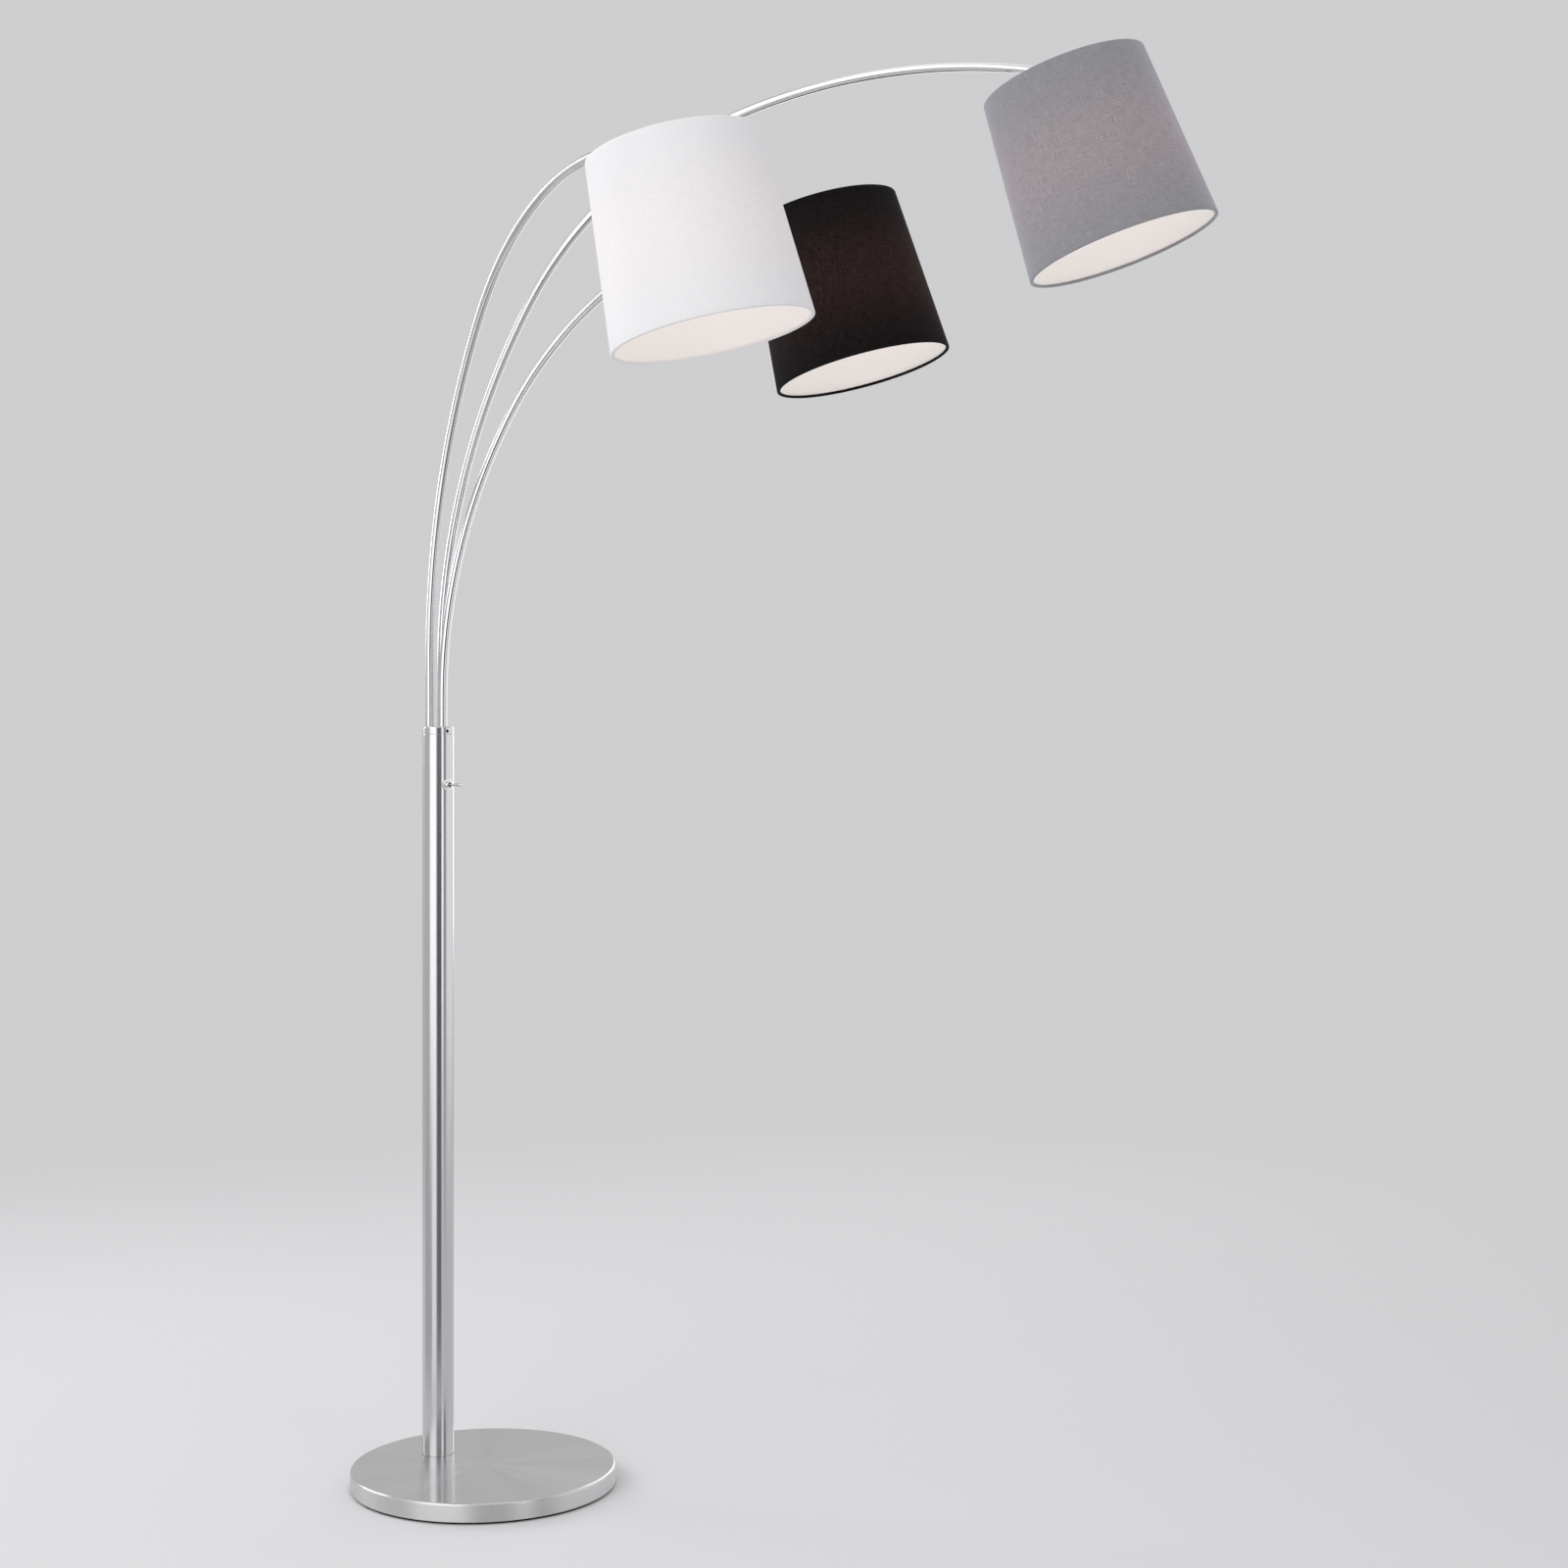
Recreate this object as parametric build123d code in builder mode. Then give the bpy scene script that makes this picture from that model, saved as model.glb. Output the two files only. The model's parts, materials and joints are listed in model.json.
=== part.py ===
"""Arc floor lamp: three bent arms swing in the cap of one column, each with a tilting fabric shade.

The frame has its origin on the floor at the centre of the round base, with +Z up. The column stands
behind the centre, towards -X, and the arms reach over the base towards +X.
"""

from build123d import *
from math import atan2, cos, degrees, hypot, radians, sin
import os

os.makedirs("parts", exist_ok=True)

# Base
base_diameter = 330.0
base_height = 25.0
pad_thickness = 3.0
pad_inset = 4.0
cover_wall = 1.5
cover_edge_radius = 3.0

# Clearances that every piece shares
fit_gap = 0.3
running_gap = 0.05
overrun = 2.0

# Bolt that holds the column on the base
bolt_diameter = 10.0
bolt_head_width = 17.0
bolt_head_height = 6.4
bolt_thread_length = 20.0
washer_diameter = 20.0
washer_thickness = 2.0
bolt_pocket_depth = 11.0
foot_plug_length = 30.0

# Cord's way through the base
cord_hole_diameter = 6.5
cord_hole_offset = 13.9
cord_channel_width = 10.0
cord_channel_height = 11.0
grommet_height = 9.0
grommet_neck_diameter = 8.4
grommet_flange_diameter = 11.0
grommet_lip = 1.6
grommet_bore = 6.2

# Column
column_diameter = 40.0
column_wall = 1.5
column_length = 915.0
column_setback = 84.0
column_angle = -6.5

# Cap and what holds the arms in it
cap_height = 10.0
cap_edge_radius = 2.0
cap_seam_height = 0.5
cap_seam_depth = 0.7
spigot_length = 26.0
spigot_chamfer = 1.0
arm_circle_radius = 10.5
set_screw_diameter = 4.0
set_screw_height = 4.2
set_screw_recess = 0.5
set_screw_socket_width = 2.0
set_screw_socket_depth = 1.5
collar_diameter = 13.0
collar_length = 5.0
retainer_diameter = 35.0
retainer_thickness = 2.5
retainer_wire_hole = 8.0
retainer_screw_diameter = 4.0
retainer_screw_length = 14.0
retainer_screw_head = 8.0
retainer_screw_slot = 1.0

# Toggle switch
switch_drop = 64.0
switch_body_width = 13.0
switch_body_height = 21.0
switch_body_depth = 20.0
switch_shoulder_diameter = 14.0
switch_shoulder_thickness = 1.5
switch_shoulder_gap = 1.5
bushing_diameter = 9.0
bushing_reach = 5.0
nut_diameter = 15.0
nut_thickness = 2.0
nut_edge = 0.4
lever_ball_diameter = 6.3
lever_pivot_depth = 4.0
lever_length = 23.5
lever_root_diameter = 2.8
lever_tip_diameter = 4.0
lever_angle = 12.0

# Arm tube
arm_diameter = 11.0
arm_wall = 1.0
arm_end_straight = 11.0

# Knuckle between an arm and its head
knuckle_reach = 17.5
knuckle_diameter = 12.0
knuckle_spigot_length = 10.0
knuckle_bore = 5.0
tongue_thickness = 4.0
tongue_gap = 0.2
tongue_length = 9.0
tongue_hub_length = 6.0
fork_root_gap = 1.0
fork_width = 11.2
hinge_pin_diameter = 4.0
hinge_head_diameter = 7.0
hinge_head_height = 2.2
hinge_slot = 1.0
hinge_nut_width = 7.0
hinge_nut_height = 3.0
nipple_diameter = 8.0
nipple_length = 5.0

# Lampholder and the ring that clamps the shade to it
holder_cap_height = 12.0
holder_cap_diameter = 32.0
holder_cap_top_diameter = 15.0
holder_cap_wall = 1.5
holder_cap_shoulder_share = 0.62
holder_diameter = 28.0
holder_length = 39.0
holder_flange_diameter = 32.0
holder_flange_thickness = 2.0
holder_neck_height = 5.0
socket_mouth_diameter = 24.8
socket_mouth_depth = 6.0
socket_bore = 14.4
socket_depth = 25.0
shade_ring_diameter = 38.0
shade_ring_nose_diameter = 33.0
shade_ring_height = 6.0
shade_ring_flange = 1.5

# Shade fitter
fitter_ring_diameter = 37.0
fitter_thickness = 1.6
spoke_diameter = 3.0
spoke_count = 3

# Shade
shade_top_diameter = 195.0
shade_mouth_diameter = 228.0
shade_height = 212.0
shade_top = 5.0
fabric_thickness = 0.6
lining_thickness = 0.6
lining_gap = 0.1
rim_wire_diameter = 2.4

# Bulb
bulb_diameter = 45.0
bulb_wall = 1.0
bulb_neck_diameter = 20.0
bulb_neck_length = 12.0
bulb_cap_diameter = 14.0
bulb_cap_seat = 1.5

# White arm: a long soft bend, its head the lowest of the three
white_rise = 87.2
white_low_radius = 736.0
white_low_angle = 34.7
white_mid_radius = 333.0
white_mid_angle = 50.2
white_end_radius = 512.7
white_end_angle = 17.2
white_swing_angle = -14.3
white_tilt_angle = 12.3
white_heading_angle = 32.5

# Grey arm: the longest and the highest
grey_rise = 76.0
grey_low_radius = 891.0
grey_low_angle = 30.5
grey_mid_radius = 458.0
grey_mid_angle = 37.1
grey_end_radius = 752.5
grey_end_angle = 34.6
grey_swing_angle = 18.0
grey_tilt_angle = 19.1
grey_heading_angle = 32.5

# Black arm: the shortest, still rising a little at its end
black_rise = 37.4
black_low_radius = 806.0
black_low_angle = 27.2
black_mid_radius = 504.0
black_mid_angle = 37.7
black_end_radius = 360.6
black_end_angle = 21.6
black_swing_angle = 43.8
black_tilt_angle = 14.7
black_heading_angle = 28.0

# Sizes that follow from the ones above
base_radius = base_diameter / 2
cover_bottom = pad_thickness
cover_underside = base_height - cover_wall
column_radius = column_diameter / 2
column_bore_radius = column_radius - column_wall
column_top = base_height + column_length
cap_top = column_top + cap_height
switch_height = column_top - switch_drop
spigot_bottom = column_top - spigot_length
spigot_radius = column_bore_radius - fit_gap / 2
bolt_pocket_top = cover_bottom + bolt_pocket_depth
arm_radius = arm_diameter / 2
arm_foot = spigot_bottom + fit_gap
collar_step = arm_foot + collar_length + fit_gap
pivot_in_switch = column_radius + bushing_reach - lever_pivot_depth

# Distances along a head's own axis, measured from the knuckle's pivot
hub_end = tongue_length + tongue_hub_length
holder_cap_end = hub_end + holder_cap_height
holder_end = holder_cap_end + holder_length
flange_end = holder_cap_end + holder_flange_thickness
fitter_end = flange_end + fitter_thickness
spoke_level = fitter_end - spoke_diameter / 2
socket_floor = holder_end - socket_mouth_depth - socket_depth
shade_mouth = shade_top + shade_height
shade_slope = (shade_mouth_diameter - shade_top_diameter) / 2 / shade_height
bulb_cap_top = socket_floor + bulb_cap_seat
bulb_cap_bottom = holder_end - socket_mouth_depth
bulb_centre = bulb_cap_bottom + bulb_neck_length + bulb_diameter / 2


def save(part, name):
    """Label one finished piece and write it to its own file."""
    part.label = name
    export_step(part, f"parts/{name}.step")


def column_plane(height):
    """Level plane on the column's axis, with X towards the switch."""
    turn = radians(column_angle)
    return Plane(origin=(-column_setback, 0, height), x_dir=(cos(turn), sin(turn), 0), z_dir=(0, 0, 1))


# Base: pad, weight and cover
bolt_place = (-column_setback, 0)
cord_hole_place = (-column_setback - cord_hole_offset, 0)
weight_radius = base_radius - cover_wall - fit_gap

with BuildPart() as base_pad:
    with BuildSketch():
        Circle(base_radius - pad_inset)
        with Locations(bolt_place):
            Circle(column_bore_radius, mode=Mode.SUBTRACT)
    extrude(amount=pad_thickness)
save(base_pad.part, "base_pad")

with BuildPart() as base_weight:
    with BuildSketch(Plane.XY.offset(cover_bottom)):
        Circle(weight_radius)
    extrude(amount=cover_underside - cover_bottom)
    with BuildSketch(Plane.XY.offset(cover_bottom)):
        with Locations(bolt_place):
            Circle(washer_diameter / 2 + 2 * fit_gap)
    extrude(amount=bolt_pocket_depth, mode=Mode.SUBTRACT)
    with BuildSketch(Plane.XY.offset(cover_bottom)):
        with Locations((cord_hole_place[0], 0)):
            Rectangle(base_diameter, cord_channel_width, align=(Align.MAX, Align.CENTER))
            Circle(cord_channel_width / 2)
    extrude(amount=cord_channel_height, mode=Mode.SUBTRACT)
    with BuildSketch(Plane.XY.offset(cover_bottom)):
        with Locations(bolt_place):
            Circle(bolt_diameter / 2 + fit_gap)
        with Locations(cord_hole_place):
            Circle(cord_hole_diameter / 2)
    extrude(amount=base_height, mode=Mode.SUBTRACT)
save(base_weight.part, "base_weight")

with BuildPart() as base_cover:
    with BuildSketch(Plane.XZ):
        with BuildLine():
            Polyline(
                (0, cover_underside),
                (base_radius - cover_wall, cover_underside),
                (base_radius - cover_wall, cover_bottom),
                (base_radius, cover_bottom),
                (base_radius, base_height),
                (0, base_height),
                close=True,
            )
        make_face()
        fillet(vertices().group_by(Axis.X)[-1].sort_by(Axis.Y)[-1], radius=cover_edge_radius)
    revolve(axis=Axis.Z)
    with BuildSketch(Plane.XY.offset(cover_bottom)):
        with Locations(bolt_place):
            Circle(bolt_diameter / 2 + fit_gap)
        with Locations(cord_hole_place):
            Circle(cord_hole_diameter / 2)
    extrude(amount=base_height, mode=Mode.SUBTRACT)
    with BuildSketch(Plane.YZ.offset(-base_radius - overrun)):
        with Locations((0, grommet_height)):
            Circle(grommet_neck_diameter / 2 + running_gap)
    extrude(amount=cover_wall + 2 * overrun, mode=Mode.SUBTRACT)
save(base_cover.part, "base_cover")

# Grommet: a spool whose neck sits in the cover's wall
with BuildPart() as cord_grommet:
    grommet_face = Plane.YZ.offset(-base_radius - grommet_lip)
    with BuildSketch(grommet_face):
        with Locations((0, grommet_height)):
            Circle(grommet_flange_diameter / 2)
    extrude(amount=grommet_lip)
    fillet(cord_grommet.edges().group_by(Axis.X)[0], radius=grommet_lip / 2)
    with BuildSketch(grommet_face):
        with Locations((0, grommet_height)):
            Circle(grommet_neck_diameter / 2)
    extrude(amount=2 * grommet_lip + cover_wall)
    with BuildSketch(grommet_face):
        with Locations((0, grommet_height)):
            Circle(grommet_bore / 2)
    extrude(amount=2 * grommet_lip + cover_wall, mode=Mode.SUBTRACT)
save(cord_grommet.part, "cord_grommet")

# Column bolt, up through the washer and the weight into the foot plug
washer_bottom = bolt_pocket_top - washer_thickness
with BuildPart() as column_washer:
    with BuildSketch(column_plane(washer_bottom)):
        Circle(washer_diameter / 2)
        Circle(bolt_diameter / 2 + fit_gap, mode=Mode.SUBTRACT)
    extrude(amount=washer_thickness)
save(column_washer.part, "column_washer")

with BuildPart() as column_bolt:
    with BuildSketch(column_plane(washer_bottom - bolt_head_height)):
        RegularPolygon(bolt_head_width / 2, 6, major_radius=False)
    extrude(amount=bolt_head_height)
    with BuildSketch(column_plane(washer_bottom)):
        Circle(bolt_diameter / 2)
    extrude(amount=base_height + bolt_thread_length - washer_bottom)
save(column_bolt.part, "column_bolt")

# Column tube with its foot plug
with BuildPart() as foot_plug:
    with BuildSketch(column_plane(base_height)):
        Circle(spigot_radius)
        Circle(bolt_diameter / 2 + running_gap, mode=Mode.SUBTRACT)
    extrude(amount=foot_plug_length)
    with BuildSketch(Plane.XY.offset(base_height)):
        with Locations(cord_hole_place):
            Circle(cord_hole_diameter / 2)
    extrude(amount=foot_plug_length, mode=Mode.SUBTRACT)
save(foot_plug.part, "foot_plug")

switch_turn = radians(column_angle)
switch_out = Vector(cos(switch_turn), sin(switch_turn), 0)
switch_side = Vector(-sin(switch_turn), cos(switch_turn), 0)
switch_axis_point = Vector(-column_setback, 0, switch_height)


def switch_plane(depth):
    """Upright plane across the switch's axis, at a distance from the column's axis."""
    return Plane(origin=switch_axis_point + switch_out * depth, x_dir=switch_side, z_dir=switch_out)


with BuildPart() as column_tube:
    with BuildSketch(column_plane(base_height)):
        Circle(column_radius)
        Circle(column_bore_radius, mode=Mode.SUBTRACT)
    extrude(amount=column_length)
    with BuildSketch(switch_plane(0)):
        Circle(bushing_diameter / 2 + running_gap)
    extrude(amount=column_diameter, mode=Mode.SUBTRACT)
save(column_tube.part, "column_tube")


def foot_place(index):
    """Place of one arm's foot in the cap, on the column's own plane."""
    angle = radians(index * 360 / 3)
    return (arm_circle_radius * cos(angle), arm_circle_radius * sin(angle))


foot_places = [foot_place(index) for index in range(3)]

# Cap: a turned head on the tube, and a spigot inside it that the arms' feet swing in
with BuildPart() as column_cap:
    with BuildSketch(column_plane(spigot_bottom)):
        Circle(spigot_radius)
    extrude(amount=spigot_length + cap_seam_height)
    chamfer(column_cap.edges().group_by(Axis.Z)[0], length=spigot_chamfer)
    with BuildSketch(column_plane(column_top)):
        Circle(column_radius - cap_seam_depth)
    extrude(amount=cap_seam_height)
    with BuildSketch(column_plane(column_top + cap_seam_height)):
        Circle(column_radius)
    extrude(amount=cap_height - cap_seam_height)
    fillet(column_cap.edges().group_by(Axis.Z)[-1], radius=cap_edge_radius)
    with BuildSketch(column_plane(spigot_bottom)):
        with Locations(foot_places):
            Circle(arm_radius + running_gap)
    extrude(amount=spigot_length + cap_height, mode=Mode.SUBTRACT)
    with BuildSketch(column_plane(spigot_bottom)):
        with Locations(foot_places):
            Circle(collar_diameter / 2 + fit_gap)
    extrude(amount=collar_step - spigot_bottom, mode=Mode.SUBTRACT)
    with BuildSketch(column_plane(spigot_bottom)):
        Circle(retainer_screw_diameter / 2 + running_gap)
    extrude(amount=retainer_screw_length, mode=Mode.SUBTRACT)
    for index in range(3):
        side = column_plane(column_top + set_screw_height).rotated((0, 0, index * 360 / 3))
        with BuildSketch(Plane(origin=side.origin, x_dir=side.y_dir, z_dir=side.x_dir)):
            Circle(set_screw_diameter / 2 + running_gap)
        extrude(amount=column_diameter, mode=Mode.SUBTRACT)
save(column_cap.part, "column_cap")

# Set screws, one against each arm's foot
screw_inner = arm_circle_radius + arm_radius + fit_gap
screw_outer = column_radius - set_screw_recess
with BuildPart() as set_screws:
    for index in range(3):
        side = column_plane(column_top + set_screw_height).rotated((0, 0, index * 360 / 3))
        across = Plane(origin=side.origin, x_dir=side.y_dir, z_dir=side.x_dir)
        with BuildSketch(across.offset(screw_inner)):
            Circle(set_screw_diameter / 2)
        extrude(amount=screw_outer - screw_inner)
        with BuildSketch(across.offset(screw_outer - set_screw_socket_depth)):
            RegularPolygon(set_screw_socket_width / 2, 6, major_radius=False)
        extrude(amount=set_screw_socket_depth + overrun, mode=Mode.SUBTRACT)
save(set_screws.part, "set_screws")

# Retainer plate that keeps the arms' collars in the spigot
with BuildPart() as retainer_plate:
    with BuildSketch(column_plane(spigot_bottom - retainer_thickness)):
        Circle(retainer_diameter / 2)
        Circle(retainer_screw_diameter / 2 + running_gap, mode=Mode.SUBTRACT)
        with Locations(foot_places):
            Circle(retainer_wire_hole / 2, mode=Mode.SUBTRACT)
    extrude(amount=retainer_thickness)
save(retainer_plate.part, "retainer_plate")

with BuildPart() as retainer_screw:
    head_top = spigot_bottom - retainer_thickness
    with BuildSketch(column_plane(head_top)):
        Circle(retainer_screw_diameter / 2)
    extrude(amount=retainer_screw_length)
    with BuildSketch(column_plane(head_top)):
        Circle(retainer_screw_head / 2)
    extrude(amount=-retainer_thickness)
    with BuildSketch(column_plane(head_top - retainer_thickness)):
        Rectangle(retainer_screw_head, retainer_screw_slot)
    extrude(amount=retainer_thickness / 2, mode=Mode.SUBTRACT)
save(retainer_screw.part, "retainer_screw")

# Toggle switch: body inside the tube, bushing through its wall, round nut outside
shoulder_face = column_bore_radius - switch_shoulder_gap
body_face = shoulder_face - switch_shoulder_thickness
bushing_face = column_radius + bushing_reach
ball_radius = lever_ball_diameter / 2
with BuildPart() as switch_body:
    with BuildSketch(switch_plane(body_face)):
        Rectangle(switch_body_width, switch_body_height)
    extrude(amount=-switch_body_depth)
    with BuildSketch(switch_plane(body_face)):
        Circle(switch_shoulder_diameter / 2)
    extrude(amount=switch_shoulder_thickness)
    with BuildSketch(switch_plane(shoulder_face)):
        Circle(bushing_diameter / 2)
    extrude(amount=bushing_face - shoulder_face)
    with BuildSketch(switch_plane(pivot_in_switch - ball_radius - fit_gap)):
        Circle(ball_radius + running_gap)
    extrude(amount=lever_pivot_depth + ball_radius + overrun, mode=Mode.SUBTRACT)
save(switch_body.part, "switch_body")

with BuildPart() as switch_nut:
    with BuildSketch(switch_plane(column_radius + running_gap)):
        Circle(nut_diameter / 2)
        Circle(bushing_diameter / 2 + running_gap, mode=Mode.SUBTRACT)
    extrude(amount=nut_thickness)
    outer_rims = switch_nut.edges().filter_by(GeomType.CIRCLE).sort_by(SortBy.RADIUS)[-2:]
    chamfer(outer_rims, length=nut_edge)
save(switch_nut.part, "switch_nut")

# Switch lever: a ball in the bushing and a tapered stem with a round tip
switch_pivot = switch_axis_point + switch_out * pivot_in_switch
throw = radians(lever_angle)
lever_out = switch_out * cos(throw) + switch_side * sin(throw)
lever_section = Plane(origin=switch_pivot, x_dir=(0, 0, 1), z_dir=Vector(0, 0, 1).cross(lever_out))
tip_radius = lever_tip_diameter / 2
root_radius = lever_root_diameter / 2
with BuildPart() as switch_lever:
    with BuildSketch(lever_section):
        with BuildLine():
            stem_end = lever_length - tip_radius
            tip = CenterArc((0, stem_end), tip_radius, 0, 90)
            Polyline(tip @ 1, (0, 0), (root_radius, 0), tip @ 0)
        make_face()
    revolve(axis=Axis(switch_pivot, lever_out))
    with BuildSketch(lever_section):
        with BuildLine():
            ball = CenterArc((0, 0), ball_radius, -90, 180)
            Line(ball @ 0, ball @ 1)
        make_face()
    revolve(axis=Axis(switch_pivot, lever_out))
save(switch_lever.part, "switch_lever")


def polar(angle):
    """Level direction at an angle from +X."""
    return Vector(cos(radians(angle)), sin(radians(angle)), 0)


def foot_point(index, height):
    """Point on the axis of one arm's foot."""
    return column_plane(height).from_local_coords(Vector(*foot_places[index], 0))


def arm_path(index, swing, rise, bends):
    """Straight foot, three tangent bends and a straight end, in the upright plane of the arm."""
    out = polar(swing)
    start = foot_point(index, 0)
    upright = Plane(origin=start, x_dir=out, z_dir=out.cross(Vector(0, 0, 1)))
    with BuildLine(upright) as path:
        run = Line((0, arm_foot), (0, cap_top + rise))
        for radius, turn in bends:
            run = JernArc(run @ 1, run % 1, radius, -turn)
        Line(run @ 1, run @ 1 + (run % 1) * arm_end_straight)
    return path.line


def build_arm(name, index, path):
    """Bent tube, foot collar, knuckle fork and hinge screw of one arm."""
    with BuildPart() as tube:
        with BuildSketch(Plane(origin=path @ 0, z_dir=path % 0)):
            Circle(arm_radius)
            Circle(arm_radius - arm_wall, mode=Mode.SUBTRACT)
        sweep(path=path)
    save(tube.part, f"{name}_arm_tube")

    foot = foot_point(index, arm_foot)
    with BuildPart() as collar:
        with BuildSketch(Plane(origin=foot, z_dir=(0, 0, 1))):
            Circle(collar_diameter / 2)
            Circle(arm_radius + running_gap, mode=Mode.SUBTRACT)
        extrude(amount=collar_length)
    save(collar.part, f"{name}_arm_collar")


def head_frame(path, tilt, heading):
    """Pivot, arm's end direction, shade's axis and hinge axis of one head."""
    along = path % 1
    pivot = path @ 1 + along * knuckle_reach
    down = polar(heading) * sin(radians(tilt)) - Vector(0, 0, 1) * cos(radians(tilt))
    hinge = down.cross(along).normalized()
    return pivot, along, down, hinge


def build_fork(name, pivot, along, hinge):
    """Fork: two cheeks round the tongue, a hub, and a spigot inside the tube."""
    hub_start = -knuckle_diameter / 2 - fork_root_gap
    half_slot = tongue_thickness / 2 + tongue_gap
    cheek_plane = Plane(origin=pivot, x_dir=along, z_dir=hinge)
    hub_plane = Plane(origin=pivot, x_dir=hinge, z_dir=along)
    with BuildPart() as fork:
        with BuildSketch(cheek_plane.offset(-fork_width / 2)):
            Circle(knuckle_diameter / 2)
            Rectangle(-2 * hub_start, knuckle_diameter, align=(Align.MAX, Align.CENTER))
        extrude(amount=fork_width)
        with BuildSketch(hub_plane.offset(-knuckle_reach)):
            Circle(knuckle_diameter / 2)
        extrude(amount=knuckle_reach + hub_start)
        with BuildSketch(hub_plane.offset(-knuckle_reach - knuckle_spigot_length)):
            Circle(arm_radius - arm_wall - running_gap)
        extrude(amount=knuckle_spigot_length)
        with BuildSketch(hub_plane.offset(hub_start)):
            Rectangle(2 * half_slot, knuckle_diameter + 2 * overrun)
        extrude(amount=2 * knuckle_diameter, mode=Mode.SUBTRACT)
        with BuildSketch(hub_plane.offset(-knuckle_reach - knuckle_spigot_length)):
            Circle(knuckle_bore / 2)
        extrude(amount=knuckle_reach + knuckle_spigot_length + hub_start, mode=Mode.SUBTRACT)
        with BuildSketch(cheek_plane.offset(-fork_width)):
            Circle(hinge_pin_diameter / 2 + running_gap)
        extrude(amount=2 * fork_width, mode=Mode.SUBTRACT)
    save(fork.part, f"{name}_knuckle_fork")


def build_hinge_screw(name, pivot, along, hinge):
    """Slotted screw through both cheeks, with its nut."""
    side = Plane(origin=pivot, x_dir=along, z_dir=hinge)
    half = fork_width / 2
    with BuildPart() as screw:
        with BuildSketch(side.offset(-half - hinge_nut_height)):
            Circle(hinge_pin_diameter / 2)
        extrude(amount=fork_width + hinge_nut_height)
        with BuildSketch(side.offset(half)):
            Circle(hinge_head_diameter / 2)
        extrude(amount=hinge_head_height)
        with BuildSketch(side.offset(half + hinge_head_height / 2)):
            Rectangle(hinge_head_diameter, hinge_slot)
        extrude(amount=hinge_head_height, mode=Mode.SUBTRACT)
        with BuildSketch(side.offset(-half - hinge_nut_height)):
            RegularPolygon(hinge_nut_width / 2, 6, major_radius=False)
            Circle(hinge_pin_diameter / 2 + running_gap, mode=Mode.SUBTRACT)
        extrude(amount=hinge_nut_height)
    save(screw.part, f"{name}_knuckle_screw")


def turned(section, axis, *outlines):
    """Solid of revolution from closed outlines of (radius, distance along the axis)."""
    with BuildPart() as piece:
        for outline in outlines:
            with BuildSketch(section):
                with BuildLine():
                    Polyline(*outline, close=True)
                make_face()
            revolve(axis=axis)
    return piece.part


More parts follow.
